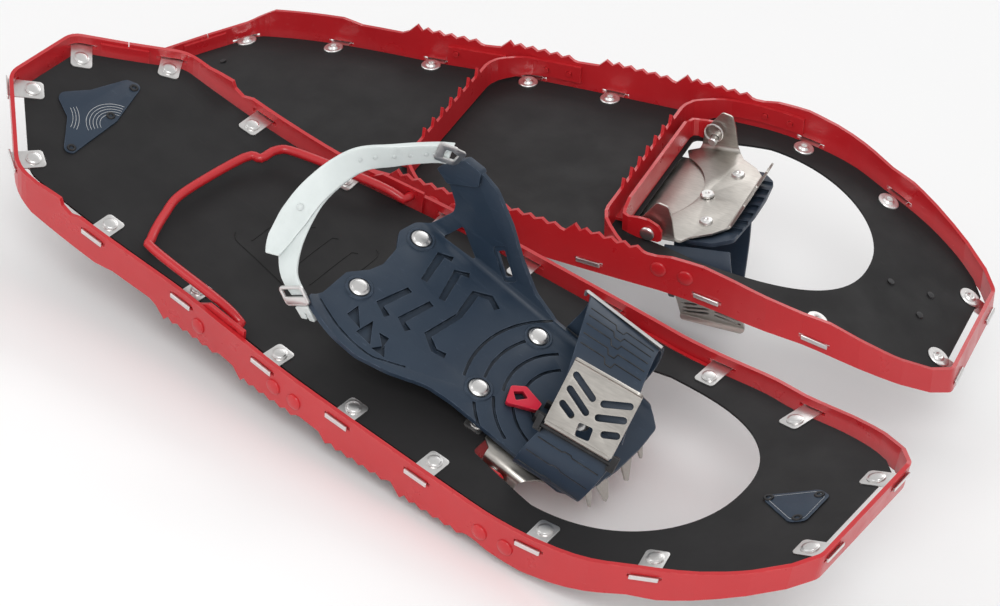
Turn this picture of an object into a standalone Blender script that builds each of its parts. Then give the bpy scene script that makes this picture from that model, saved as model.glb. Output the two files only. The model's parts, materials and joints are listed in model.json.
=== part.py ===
"""A pair of snowshoes as an assembly of separate parts.

The right shoe stands the right way up and the left shoe lies turned over
beside it.  Each shoe is modelled once, in its own frame: +X to the toe tip,
+Y to the wearer's left, +Z up, with the origin in the middle of the deck
over the front crossbar.  The left shoe is the mirror image of the right.

Heights called "h" are measured up from the middle of the deck sheet, which
rises at the tail and at the tip.  Sizes are in millimetres until the meshes
are made, and the scene is in metres.
"""

import math

import bmesh
import bpy
from mathutils import Matrix, Vector

MM = 0.001
FLAT_ANGLE = 0.002

# Frame rail: outside half-widths of one side, from the tail to the tip
TAIL_END_X = -397.0
TAIL_END_HALF = 29.0
TAIL_CORNER = (-340.0, 81.5)
TAIL_END_RADIUS = 16.0
TAIL_CORNER_RADIUS = 26.0
SIDE = [(-300, 82.5), (-210, 84), (-165, 88.5), (-110, 94.5), (-40, 98.3),
        (50, 101.5), (110, 100), (143, 92), (179, 83), (205, 72), (222, 60.5)]
TIP_END_X = 233.0
TIP_END_HALF = 47.0
TIP_CORNER_RADIUS = 9.0
RAIL_SHEET = 2.6
RAIL_TOP = 8.0
RAIL_END_DEPTH = 11.0
RAIL_END_GAP = 0.25
TAIL_ARC_END = 5
SPLICE_START = 0.2
SPLICE_END = 0.72
SPLICE_SHEET = 2.0
SPLICE_DEPTH = 9.0
SPLICE_TOP = 6.5

# Rail teeth: each group is one large tooth, then small ones towards the tip
TOOTH_GROUPS = [-211, -142, -69, -11]
LARGE_TOOTH_DEPTH = 25.0
SMALL_TEETH = 5
SMALL_TOOTH_PITCH = 9.0
SMALL_TOOTH_DEPTH = 23.5
SMALL_TOOTH_VALLEY = 20.4
TOOTH_FADE = 0.6
TAIL_RAIL_EDGE = [(-345, 11), (-326, 19), (-270, 19), (-255, 15.5), (-218, 15.5)]
ARCH_DEPTH = 18.0
TIP_RAIL_EDGE = [(46, 17.3), (56, 19.6), (78, 21.2), (100, 19.6), (120, 17.5), (143, 15.2),
                 (160, 16.5), (180, 13.8), (200, 11.4), (222, 10.6)]
TOP_HOOK = [(-322, 8), (-312, 10), (-301, 11.5), (-299, 7), (-292, 4.6), (-284, 8)]

# Deck sheet
DECK_SHEET = 1.6
DECK_INSET = 9.0
MID_DECK_Z = -1.5
DECK_STATIONS = [-380, -360, -335, -305, -270, -232, 75, 100, 125, 150, 175, 200]
TAIL_RISE_START = -190.0
TAIL_RISE = 25.5
TAIL_RISE_POWER = 2.3
TIP_RISE_START = 45.0
TIP_RISE_END = 220.2
TIP_RISE = 55.5
TIP_RISE_POWER = 1.75
TOE_HOLE_BACK = 10.0
TOE_HOLE_MIDDLE = 62.0
TOE_HOLE_FRONT = 157.0
TOE_HOLE_BACK_HALF = 60.0
TOE_HOLE_HALF = 72.0
TOE_HOLE_POWER = 2.2

# Clips: rivet places along one side, as x and half-width
CLIP_RIVETS = [(-382.0, 22.5), (-341.5, 63.5), (-272.0, 67.5), (-195.3, 71.0), (-123.0, 79.0),
               (-62.0, 83.0), (0.0, 84.0), (81.0, 85.0), (147.0, 73.5), (219.0, 35.5)]
CROSSBAR_CLIP_HALF = 41.0
CLIP_SHEET = 1.0
BADGE_SHEET = 0.8
CLIP_WIDTH = 14.0
CLIP_NOSE = 7.5
CLIP_PROUD = 1.6
CLIP_REACH_LIMIT = 40.0
SLOT_LENGTH = 20.0
SLOT_HEIGHT = 2.6
GAP = 0.3
RIVET_SHANK = 2.0
RIVET_HOLE = 2.4
BADGE_HOLE = 1.8
RIVET_HEAD = 5.0
RIVET_DOME = 2.2
WASHER_RADIUS = 6.6
WASHER_SHEET = 1.0
HEX = 6

# Crossbars
REAR_BAR_X = -147.0
FRONT_BAR_X = -2.0
BAR_SHEET = 2.2
BAR_DEPTH = 20.0
BAR_TOOTH = 6.0
BAR_TOOTH_PITCH = 14.0
ARM_TOP = -2.5
ARM_DEPTH = 15.0
REAR_ARM_END = -88.0
FRONT_ARM_END = 76.0
REAR_BAR_RIVETS = [-114.0, -97.0]
FRONT_BAR_RIVETS = [48.0, 66.5]
BAR_RIVET_H = -8.5
RAIL_RIVET_HEAD = 4.6
RAIL_RIVET_HEIGHT = 1.5

# Heel lifter
LIFTER_AXIS = (-153.0, 0.0, 5.0)
LIFTER_WIRE = 3.0
LIFTER_Z = 9.3
LIFTER_PATH = [(-172, -77), (-232, -70.5), (-240, -65), (-250, -41), (-255, -18),
               (-250, 34), (-242, 41), (-240, 54), (-228, 62), (-172, 74)]
BRACKET_BACK = -187.0
BRACKET_FRONT = -144.0
BRACKET_SHEET = 2.0
BRACKET_RIVET_X = -181.0

# Binding, in its own frame on the pivot axis
PIVOT = (25.7, 0.0, -7.7)
EAR_HALF = 63.5
STEEL_EAR_HALF = 59.8
STEEL_SHEET = 1.5
EAR_RADIUS = 10.0
PIN_RADIUS = 3.0
PIN_INNER_END = 52.6
SPLIT_RING_Y = 55.2
SPLIT_RING_RADIUS = 6.5
CRAMPON_Z = 8.0
AXIS_PLATE_Z = 9.7
AXIS_PLATE_SHEET = 1.0
BASE_Z = 11.9
BASE_SHEET = 3.0
AXIS_X = 16.6
AXIS_HOLE = 6.5
HEEL_RIVETS = (-136.0, 30.0)
TOE_RIVETS = (-40.0, 30.0)
BASE_RIVET_HEAD = 6.2
TOE_SHEET = 2.6
AXIS_PLACE = (AXIS_X, 0.0, 0.0)
LEVER_PIN = (-4.5, -7.5, 15.3)
STRAP_PIN = (-160.0, -66.0, 17.0)

# Edge lines of the toe loop, back edge then front edge, from the near wall over the foot
NEAR_BACK = [(7, -53.5, 14.2), (8, -59, 22), (10, -57, 38), (12.5, -48, 51)]
NEAR_FRONT = [(50, -47, 16), (54, -55, 28), (57, -52, 46), (57, -44, 57)]
FAR_BACK = [(-33, 50.5, 14.2), (-29, 54, 34), (-24, 48, 62), (-20, 31, 82), (-15, 12, 87.5), (-4, -8, 85),
            (7, -28, 72), (12, -39, 60)]
FAR_FRONT = [(26, 50.5, 16), (28, 53, 36), (30, 46, 62), (32, 32, 80), (33, 16, 87), (39, -4, 88),
             (48, -24, 77), (55, -36, 66)]
PLATE_CORNERS = [(11, -47.5, 53), (56, -43, 59.5), (47, -17.5, 92.5), (3.5, -22.5, 88.5)]

# Toe buckle plate, in its own frame: X along the hinge, Y up the plate
BUCKLE_STANDOFF = 3.2
BUCKLE_PIN_Y = -2.4
BUCKLE_LENGTH = 45.0
BUCKLE_WIDTH = 41.0
BUCKLE_LIP = 4.0
HINGE_PIN_RADIUS = 1.3
HINGE_CLIP_REACH = 2.5

# Heel strap, from the near arm round the heel to the far arm
HEEL_STRAP_LINE = [(-154.5, -66, 17), (-168, -62, 22), (-180, -48, 33), (-187, -25, 50),
                   (-183, 2, 63), (-168, 22, 71), (-152, 36, 77), (-143, 41, 80)]
HEEL_STRAP_WIDTH = 20.0
HEEL_STRAP_SHEET = 2.4
HEEL_STRAP_LEAN = 0.12

# Rest positions of the two shoes: place in mm, turns in degrees about X, Y, Z
RIGHT_PITCH = 12.2
LEFT_PITCH = 5.0
RIGHT_PLACE = (107.292, -125.008, 56.873)
RIGHT_TURN = (14.5965, 4.2841, 0.0)
LEFT_PLACE = (46.125, 106.872, 98.558)
LEFT_TURN = (11.6586, -7.4013, 9.8424)

COLOURS = {
    "red_paint": ((0.58, 0.03, 0.035), 0.35, 0.25),
    "deck_black": ((0.028, 0.027, 0.028), 0.75, 0.0),
    "bright_steel": ((0.72, 0.71, 0.69), 0.28, 1.0),
    "brushed_steel": ((0.42, 0.40, 0.38), 0.42, 1.0),
    "slate_plastic": ((0.045, 0.062, 0.098), 0.55, 0.0),
    "pale_rubber": ((0.62, 0.68, 0.68), 0.45, 0.0),
    "lever_red": ((0.62, 0.02, 0.05), 0.4, 0.0),
    "black_plastic": ((0.02, 0.02, 0.022), 0.5, 0.0),
}


# ---------------------------------------------------------------- scene

def clear_scene():
    for thing in list(bpy.data.objects):
        bpy.data.objects.remove(thing, do_unlink=True)


def make_collection(name):
    collection = bpy.data.collections.new(name)
    bpy.context.scene.collection.children.link(collection)
    return collection


def make_material(name):
    if name in bpy.data.materials:
        return bpy.data.materials[name]
    colour, roughness, metallic = COLOURS[name]
    material = bpy.data.materials.new(name)
    material.use_nodes = True
    shader = material.node_tree.nodes["Principled BSDF"]
    shader.inputs["Base Color"].default_value = (*colour, 1.0)
    shader.inputs["Roughness"].default_value = roughness
    shader.inputs["Metallic"].default_value = metallic
    return material


# ---------------------------------------------------------------- plane curves

def spline_through(points, step):
    """A smooth Catmull-Rom line through the points, sampled about every step."""
    ends = [points[0]] + list(points) + [points[-1]]
    line = []
    for before, start, end, after in zip(ends, ends[1:], ends[2:], ends[3:]):
        count = max(1, round(math.dist(start, end) / step))
        for index in range(count):
            t = index / count
            place = []
            for p0, p1, p2, p3 in zip(before, start, end, after):
                place.append(0.5 * (2 * p1 + (p2 - p0) * t
                                    + (2 * p0 - 5 * p1 + 4 * p2 - p3) * t * t
                                    + (3 * p1 - p0 - 3 * p2 + p3) * t ** 3))
            line.append(tuple(place))
    line.append(tuple(points[-1]))
    return line


def rounded_corner(before, corner, after, radius, count=4):
    """Points of the arc that rounds a corner."""
    here = Vector(corner)
    back = (Vector(before) - here).normalized()
    on = (Vector(after) - here).normalized()
    half_angle = back.angle(on) / 2
    reach = radius / math.tan(half_angle)
    middle = here + (back + on).normalized() * radius / math.sin(half_angle)
    start = here + back * reach - middle
    end = here + on * reach - middle
    points = []
    for index in range(count + 1):
        t = index / count
        arm = start.lerp(end, t).normalized() * radius
        points.append(tuple(middle + arm))
    return points


def rounded_outline(corners, count=3):
    """A closed outline from corners (x, y, radius)."""
    points = []
    total = len(corners)
    for index, (x, y, radius) in enumerate(corners):
        before = corners[index - 1][:2]
        after = corners[(index + 1) % total][:2]
        if radius:
            points += rounded_corner(before, (x, y), after, radius, count)
        else:
            points.append((x, y))
    return points


def circle(radius, count, centre=(0.0, 0.0), turn=0.0):
    points = []
    for index in range(count):
        angle = turn + 2 * math.pi * index / count
        points.append((centre[0] + radius * math.cos(angle), centre[1] + radius * math.sin(angle)))
    return points


def interpolate(x, table):
    """Straight-line look-up in a table of (x, value) with rising x."""
    if x <= table[0][0]:
        return table[0][1]
    for (x0, y0), (x1, y1) in zip(table, table[1:]):
        if x <= x1:
            return y0 + (y1 - y0) * (x - x0) / (x1 - x0)
    return table[-1][1]


# ---------------------------------------------------------------- mesh tools

def mesh_from_object(thing):
    graph = bpy.context.evaluated_depsgraph_get()
    return bpy.data.meshes.new_from_object(thing.evaluated_get(graph))


def take_bmesh(thing, merge=0.001):
    """The finished mesh of a temporary object, welded, in its own frame."""
    bpy.context.view_layer.update()
    mesh = mesh_from_object(thing)
    bm = bmesh.new()
    bm.from_mesh(mesh)
    bmesh.ops.remove_doubles(bm, verts=bm.verts, dist=merge)
    bmesh.ops.recalc_face_normals(bm, faces=bm.faces)
    bpy.data.meshes.remove(mesh)
    bpy.data.objects.remove(thing, do_unlink=True)
    return bm


def temporary(name, data):
    thing = bpy.data.objects.new(name, data)
    bpy.context.scene.collection.objects.link(thing)
    return thing


def sheet(outline, thickness, holes=()):
    """A flat plate lying on z = 0, with holes."""
    curve = bpy.data.curves.new("outline", "CURVE")
    curve.dimensions = "2D"
    curve.fill_mode = "BOTH"
    curve.extrude = thickness / 2
    for points in [outline, *holes]:
        spline = curve.splines.new("POLY")
        spline.points.add(len(points) - 1)
        for point, (x, y) in zip(spline.points, points):
            point.co = (x, y, 0.0, 1.0)
        spline.use_cyclic_u = True
    return merge_flat_faces(take_bmesh(temporary("outline", curve)))


def merge_flat_faces(bm):
    """Joins neighbouring faces that lie in one plane."""
    bmesh.ops.dissolve_limit(bm, angle_limit=FLAT_ANGLE, verts=bm.verts, edges=bm.edges)
    return bm


def tube(points, radius, resolution=1):
    """A round wire along the points, with closed ends."""
    curve = bpy.data.curves.new("wire", "CURVE")
    curve.dimensions = "3D"
    curve.bevel_depth = radius
    curve.bevel_resolution = resolution
    curve.use_fill_caps = True
    spline = curve.splines.new("POLY")
    spline.points.add(len(points) - 1)
    for point, place in zip(spline.points, points):
        point.co = (*place, 1.0)
    return take_bmesh(temporary("wire", curve))


def turned(profile, steps):
    """A solid of revolution about Z from (radius, z) points, top to bottom."""
    mesh = bpy.data.meshes.new("profile")
    points = [(radius, 0.0, z) for radius, z in profile]
    edges = [(index, index + 1) for index in range(len(points) - 1)]
    mesh.from_pydata(points, edges, [])
    thing = temporary("profile", mesh)
    screw = thing.modifiers.new("screw", "SCREW")
    screw.steps = steps
    screw.render_steps = steps
    screw.use_merge_vertices = True
    screw.merge_threshold = 0.0001
    return take_bmesh(thing)


def band(rows, thickness):
    """A closed solid from an open strip of point rows, thickened both ways."""
    mesh = bpy.data.meshes.new("band")
    points = [place for row in rows for place in row]
    width = len(rows[0])
    faces = []
    for row in range(len(rows) - 1):
        for column in range(width - 1):
            first = row * width + column
            faces.append((first, first + 1, first + width + 1, first + width))
    mesh.from_pydata(points, [], faces)
    thing = temporary("band", mesh)
    solidify = thing.modifiers.new("sheet", "SOLIDIFY")
    solidify.thickness = thickness
    solidify.offset = 0.0
    solidify.use_even_offset = True
    return take_bmesh(thing)


def cut_at(bm, places, normal):
    """Adds edge loops on planes across the mesh, so that it can bend there."""
    for place in places:
        geometry = bm.verts[:] + bm.edges[:] + bm.faces[:]
        bmesh.ops.bisect_plane(bm, geom=geometry, plane_co=place, plane_no=normal, dist=1e-5)


def fold(bm, start, along, away, angle, radius):
    """Bends the sheet beyond a line: start, its direction, and the way across it."""
    start, along, away = Vector(start), Vector(along), Vector(away)
    up = away.cross(along) if angle > 0 else along.cross(away)
    turn = abs(angle)
    length = radius * turn
    cut_at(bm, [start + away * length * part / 3 for part in range(4)], away)
    for vertex in bm.verts:
        offset = vertex.co - start
        reach = offset.dot(away)
        if reach < 1e-4:
            continue
        height = offset.dot(up)
        bent = min(reach / radius, turn)
        rest = reach - bent * radius
        across = (radius - height) * math.sin(bent) + rest * math.cos(bent)
        rise = radius - (radius - height) * math.cos(bent) + rest * math.sin(bent)
        vertex.co += away * (across - reach) + up * (rise - height)


def box(size, centre=(0.0, 0.0, 0.0)):
    bm = bmesh.new()
    bmesh.ops.create_cube(bm, size=1.0)
    bmesh.ops.scale(bm, vec=size, verts=bm.verts)
    bmesh.ops.translate(bm, vec=centre, verts=bm.verts)
    return bm


def join(pieces):
    """Puts several solids in one mesh, as separate shells."""
    whole = bmesh.new()
    for piece in pieces:
        mesh = bpy.data.meshes.new("piece")
        piece.to_mesh(mesh)
        piece.free()
        whole.from_mesh(mesh)
        bpy.data.meshes.remove(mesh)
    return whole


def placed(bm, matrix):
    """A moved copy of a mesh."""
    copy = bm.copy()
    bmesh.ops.transform(copy, matrix=matrix, verts=copy.verts)
    return copy


def object_from(bm, name, collection):
    mesh = bpy.data.meshes.new(name)
    bm.to_mesh(mesh)
    bm.free()
    thing = bpy.data.objects.new(name, mesh)
    collection.objects.link(thing)
    return thing


def combined(bm, others, operation):
    """The Boolean of a mesh with others, as a mesh."""
    work = bpy.context.scene.collection
    thing = object_from(bm, "work", work)
    tools = []
    for other in others:
        tool = object_from(other, "tool", work)
        modifier = thing.modifiers.new("boolean", "BOOLEAN")
        modifier.operation = operation
        modifier.object = tool
        tools.append(tool)
    result = merge_flat_faces(take_bmesh(thing, merge=0.0005))
    for tool in tools:
        bpy.data.objects.remove(tool, do_unlink=True)
    return result


# ---------------------------------------------------------------- shared shape rules

def deck_height(x):
    """Height of the deck's middle surface, which rises at both ends."""
    if x < TAIL_RISE_START:
        span = TAIL_END_X - TAIL_RISE_START
        return MID_DECK_Z + TAIL_RISE * ((x - TAIL_RISE_START) / span) ** TAIL_RISE_POWER
    if x > TIP_RISE_START:
        span = TIP_RISE_END - TIP_RISE_START
        return MID_DECK_Z + TIP_RISE * ((x - TIP_RISE_START) / span) ** TIP_RISE_POWER
    return MID_DECK_Z


def lay_on_deck(bm):
    for vertex in bm.verts:
        vertex.co.z += deck_height(vertex.co.x)
    return bm


def side_outline(step=14.0):
    """The rail's outer face on the +Y side, from the tail's middle to the tip's."""
    end = (TAIL_END_X, TAIL_END_HALF)
    points = [(TAIL_END_X, 0.0)]
    points += rounded_corner((TAIL_END_X, 0), end, TAIL_CORNER, TAIL_END_RADIUS)
    points += rounded_corner(end, TAIL_CORNER, SIDE[0], TAIL_CORNER_RADIUS)
    points += spline_through(SIDE, step)
    corner = (TIP_END_X, TIP_END_HALF)
    points += rounded_corner(SIDE[-1], corner, (TIP_END_X, 0), TIP_CORNER_RADIUS)
    points.append((TIP_END_X, 0.0))
    return points


def offset_inward(points, distance):
    """Moves an open line, which runs from the tail to the tip on +Y, inwards."""
    moved = []
    last = len(points) - 1
    for index, (x, y) in enumerate(points):
        before = Vector(points[max(index - 1, 0)])
        after = Vector(points[min(index + 1, last)])
        way = (after - before).normalized()
        if index == 0:
            way = Vector((0, 1))
        if index == last:
            way = Vector((0, -1))
        moved.append((x + way.y * distance, y - way.x * distance))
    return moved


def half_width(x):
    """Outer half-width of the rail at x, on the sides."""
    table = [(TAIL_END_X, TAIL_END_HALF), TAIL_CORNER] + SIDE + [(TIP_END_X, TIP_END_HALF)]
    dense = spline_through(table[1:-1], 6.0)
    return interpolate(x, [table[0]] + dense + [table[-1]])


def rail_edge_table():
    """Depth of the rail's lower edge below the deck, with its teeth."""
    table = list(TAIL_RAIL_EDGE)
    for start in TOOTH_GROUPS:
        table.append((start - 7, ARCH_DEPTH))
        table.append((start, LARGE_TOOTH_DEPTH))
        table.append((start + 3.5, SMALL_TOOTH_VALLEY))
        for number in range(SMALL_TEETH):
            tip = start + SMALL_TOOTH_PITCH * (number + 1)
            table.append((tip - 1.5, SMALL_TOOTH_DEPTH - TOOTH_FADE * number))
            table.append((tip + 2.5, SMALL_TOOTH_VALLEY - TOOTH_FADE * number))
        table.append((start + SMALL_TOOTH_PITCH * (SMALL_TEETH + 0.6), ARCH_DEPTH - 0.8))
    return [point for point in table if point[0] < TIP_RAIL_EDGE[0][0]] + TIP_RAIL_EDGE


def both_sides(points):
    """A closed loop from a line on +Y that starts and ends on the middle line."""
    mirrored = [(x, -y) for x, y in reversed(points[1:-1])]
    return points + mirrored


# ---------------------------------------------------------------- frame

def rail_line():
    """Middle line of the rail on +Y, with a point at every tooth."""
    edge = rail_edge_table()
    outline = side_outline()
    stations = [x for x, _ in edge] + [x for x, _ in TOP_HOOK]
    front = SIDE[-1][0]
    sides = [point for point in outline if TAIL_CORNER[0] + 30 < point[0] < front]
    merged = []
    for x in sorted(stations + [x for x, _ in sides]):
        if TAIL_CORNER[0] + 12 < x <= front and (not merged or x - merged[-1] > 1.2):
            merged.append(x)
    line = [point for point in outline if point[0] < TAIL_CORNER[0] + 12]
    line += [(x, half_width(x)) for x in merged]
    line += [point for point in outline if point[0] > front]
    return offset_inward(line, RAIL_SHEET / 2)


def seam_point(share):
    """A point on the +Y tail diagonal of the rail's middle line."""
    line = rail_line()
    start, end = Vector(line[TAIL_ARC_END]), Vector(line[TAIL_ARC_END + 1])
    return start.lerp(end, share)


def rail_loop():
    """The rail's middle line all the way round, from one end of the strip to the other."""
    line = rail_line()
    line[0] = (line[0][0], 0.0)
    start, end = Vector(line[TAIL_ARC_END]), Vector(line[TAIL_ARC_END + 1])
    step = (end - start).normalized() * RAIL_END_GAP
    middle = (start + end) / 2
    loop = [tuple(middle - step)] + line[TAIL_ARC_END::-1]
    loop += [(x, -y) for x, y in line[1:]]
    loop += line[-2:TAIL_ARC_END:-1]
    return loop + [tuple(middle + step)]


def frame_rail():
    edge = [(x, -depth) for x, depth in rail_edge_table()]
    loop = rail_loop()
    rows = []
    for x, y in loop:
        top = interpolate(x, TOP_HOOK)
        depth = interpolate(x, edge)
        if x > SIDE[-1][0] or x < TAIL_RAIL_EDGE[0][0]:
            top, depth = RAIL_TOP, -RAIL_END_DEPTH
        base = deck_height(x)
        rows.append([(x, y, base + depth), (x, y, base + top)])
    rail = combined(band(rows, RAIL_SHEET), [slot_cutters()], "DIFFERENCE")
    return combined(rail, [rail_rivets()], "UNION")


def outward(x, half, side):
    """Direction across the rail at a place on it, pointing out of the shoe."""
    line = side_outline(6.0)
    nearest = min(range(1, len(line) - 1), key=lambda index: math.dist(line[index], (x, half)))
    before = Vector(line[nearest - 1])
    after = Vector(line[nearest + 1])
    way = (after - before).normalized()
    return Vector((-way.y, side * way.x, 0.0))


def rail_point_beyond(x, half, side):
    """Where the rail's outer face is, straight out from a clip rivet."""
    direction = outward(x, half + 14, side)
    if x > SIDE[-2][0]:
        direction = Vector((1, 0, 0))
    line = [point for point in side_outline(4.0) if abs(point[0] - x) < CLIP_REACH_LIMIT]
    best = min(line, key=lambda point: across_distance(point, x, half, side, direction))
    reach = (Vector((best[0], side * best[1], 0)) - Vector((x, side * half, 0))).dot(direction)
    return direction, reach


def across_distance(point, x, half, side, direction):
    """How far a point of the outline is from the line out of a clip rivet."""
    offset = Vector((point[0] - x, side * (point[1] - half), 0))
    return (offset - direction * offset.dot(direction)).length


def clip_places():
    """Matrix and reach to the rail of each side clip."""
    places = []
    for x, half in CLIP_RIVETS:
        for side in (1, -1):
            direction, reach = rail_point_beyond(x, half, side)
            turn = math.atan2(direction.y, direction.x)
            matrix = Matrix.Translation((x, side * half, 0)) @ Matrix.Rotation(turn, 4, "Z")
            places.append((matrix, reach))
    return places


def clip_height():
    """The tabs are pressed a little way into the deck's face."""
    return DECK_SHEET / 2 + CLIP_SHEET / 2 - 0.2


def slot_cutters():
    cutters = []
    for matrix, reach in clip_places():
        cutter = box((4 * RAIL_SHEET, SLOT_LENGTH, SLOT_HEIGHT),
                     (reach - RAIL_SHEET / 2, 0, clip_height()))
        cutters.append(lay_on_deck(placed(cutter, matrix)))
        cutter.free()
    return join(cutters)


def rail_rivet_places():
    """Matrices of the rivets that hold crossbars and brackets, +X out of the rail."""
    places = []
    xs = REAR_BAR_RIVETS + FRONT_BAR_RIVETS + [BRACKET_RIVET_X]
    for x in xs:
        for side in (1, -1):
            half = half_width(x)
            direction = outward(x, half, side)
            turn = math.atan2(direction.y, direction.x)
            place = Matrix.Translation((x, side * half, deck_height(x) + BAR_RIVET_H))
            places.append(place @ Matrix.Rotation(turn, 4, "Z"))
    return places


def along_x(bm):
    """Turns a solid made along Z so that its top faces +X."""
    bmesh.ops.rotate(bm, matrix=Matrix.Rotation(math.pi / 2, 3, "Y"), verts=bm.verts)
    return bm


def rail_rivet_cutters():
    hole = along_x(turned([(0, 9), (RIVET_HOLE, 9), (RIVET_HOLE, -9), (0, -9)], HEX))
    return join([placed(hole, matrix) for matrix in rail_rivet_places()])


def rail_rivets():
    """Painted-over rivets: heads outside the rail, shanks through the parts inside."""
    inner = -(RAIL_SHEET + GAP + BAR_SHEET + GAP)
    profile = [(0, RAIL_RIVET_HEIGHT), (RAIL_RIVET_HEAD, -0.2), (RIVET_SHANK, -0.2),
               (RIVET_SHANK, inner - 1.2), (0, inner - 1.2)]
    rivet = along_x(turned(profile, HEX))
    return join([placed(rivet, matrix) for matrix in rail_rivet_places()])


def tail_splice():
    """A plate inside the rail over the seam on the +Y tail diagonal."""
    start, end = seam_point(SPLICE_START), seam_point(SPLICE_END)
    way = (end - start).normalized()
    inward = Vector((way.y, -way.x)) * (RAIL_SHEET / 2 + GAP + SPLICE_SHEET / 2)
    rows = []
    for place in (start, end):
        x, y = place + inward
        z = deck_height(x)
        rows.append([(x, y, z - SPLICE_DEPTH), (x, y, z + SPLICE_TOP)])
    return band(rows, SPLICE_SHEET)


# ---------------------------------------------------------------- deck

def toe_hole():
    """Outline of the opening that the toe swings through."""
    half = [(TOE_HOLE_BACK, TOE_HOLE_BACK_HALF), (22, 67.5), (40, 71)]
    span = TOE_HOLE_FRONT - TOE_HOLE_MIDDLE
    for index in range(11):
        t = math.sin(math.pi / 2 * index / 11)
        y = TOE_HOLE_HALF * (1 - t ** TOE_HOLE_POWER) ** (1 / TOE_HOLE_POWER)
        half.append((TOE_HOLE_MIDDLE + span * t, y))
    return half + [(TOE_HOLE_FRONT, 0.0)] + [(x, -y) for x, y in reversed(half)]


def deck():
    """The deck sheet with its clips, and the rivets that clamp them to it."""
    outline = both_sides(offset_inward(side_outline(26.0), DECK_INSET))
    holes = [toe_hole()] + [circle(BADGE_HOLE, HEX, spot) for spot in badge_rivet_spots()]
    plate = sheet(outline, DECK_SHEET, holes)
    cut_at(plate, [Vector((x, 0, 0)) for x in DECK_STATIONS], Vector((1, 0, 0)))
    lay_on_deck(plate)
    plate = combined(plate, [lay_on_deck(deck_clips())], "UNION")
    return combined(plate, [lay_on_deck(clip_rivets())], "UNION")


def clip_outline(reach):
    """A tab from the rail's outer face to a round nose past the rivet."""
    end = reach + CLIP_PROUD
    half = CLIP_WIDTH / 2
    return [(end, -half), (end, half), (-2.5, half), (-CLIP_NOSE, half * 0.45),
            (-CLIP_NOSE, -half * 0.45), (-2.5, -half)]


def deck_clips():
    """Steel tabs that lie on the deck and hook through the rail's slots."""
    pieces = []
    for matrix, reach in clip_places():
        pieces.append(placed(clip_tab(reach), matrix))
    for matrix in crossbar_clip_places():
        pieces.append(placed(clip_tab(4.0), matrix))
    return join(pieces)


def clip_tab(reach):
    tab = sheet(clip_outline(reach), CLIP_SHEET)
    bmesh.ops.translate(tab, vec=(0, 0, clip_height()), verts=tab.verts)
    return tab


def crossbar_clip_places():
    return [Matrix.Translation((0, side * CROSSBAR_CLIP_HALF, 0)) for side in (1, -1)]


def clip_rivets():
    """Rivets that flare from a head over the clip to a washer below the deck."""
    head = clip_height() + CLIP_SHEET / 2
    low = -DECK_SHEET / 2 - WASHER_SHEET
    profile = [(0, head + RIVET_DOME), (RIVET_HEAD, head), (WASHER_RADIUS, low + WASHER_SHEET),
               (WASHER_RADIUS, low), (0, low)]
    rivet = turned(profile, HEX)
    places = [matrix for matrix, _ in clip_places()] + crossbar_clip_places()
    return join([placed(rivet, matrix) for matrix in places])


# ---------------------------------------------------------------- badges

def tail_badge_outline():
    return rounded_outline([(-372, -12, 6), (-353, -21, 4), (-336, -42, 5), (-329, -44, 4),
                            (-331, 2, 5), (-342, 38, 4), (-352, 34, 5), (-360, 8, 4)], 2)


def tip_badge_outline():
    return rounded_outline([(168, 0, 4), (196, -17, 5), (204, -13, 4), (204, 13, 4),
                            (196, 17, 5)], 2)


def badge_rivet_spots():
    return [(-333, -38), (-336.5, 2), (-344, 32), (173.5, 0), (198, -12), (198, 12)]


def badge(outline, spots, stations):
    """A thin plate with its rivets, whose shanks pass through the deck."""
    top = DECK_SHEET / 2 + GAP
    plate = sheet(outline, BADGE_SHEET)
    bmesh.ops.translate(plate, vec=(0, 0, top + BADGE_SHEET / 2), verts=plate.verts)
    low = -(DECK_SHEET / 2 + GAP)
    rivet = turned([(0, top + 2.0), (2.6, top + 1.5), (2.8, top + 0.4), (1.3, top + 0.4), (1.3, low),
                    (2.4, low), (2.0, low - 0.8), (0, low - 0.8)], HEX)
    rivets = join([placed(rivet, Matrix.Translation((x, y, 0))) for x, y in spots])
    plate = combined(plate, [rivets], "UNION")
    cut_at(plate, [Vector((x, 0, 0)) for x in stations], Vector((1, 0, 0)))
    return lay_on_deck(plate)


# ---------------------------------------------------------------- crossbars

def arm_line(bar_x, arm_end, bend_x, reach):
    """Half the plan line of a crossbar: along the rail, round the bend, to the middle."""
    clear = RAIL_SHEET + GAP + BAR_SHEET / 2
    rail = [(x, half_width(x) - clear) for x in (arm_end, (arm_end + bend_x) / 2, bend_x)]
    corner = [(bend_x - reach * 0.35, half_width(bend_x) - clear - reach * 0.12),
              (bar_x + reach * 0.12, half_width(bend_x) - clear - reach * 0.62),
              (bar_x, half_width(bend_x) - clear - reach)]
    line = spline_through(rail + corner, 7.0)
    return line


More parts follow.
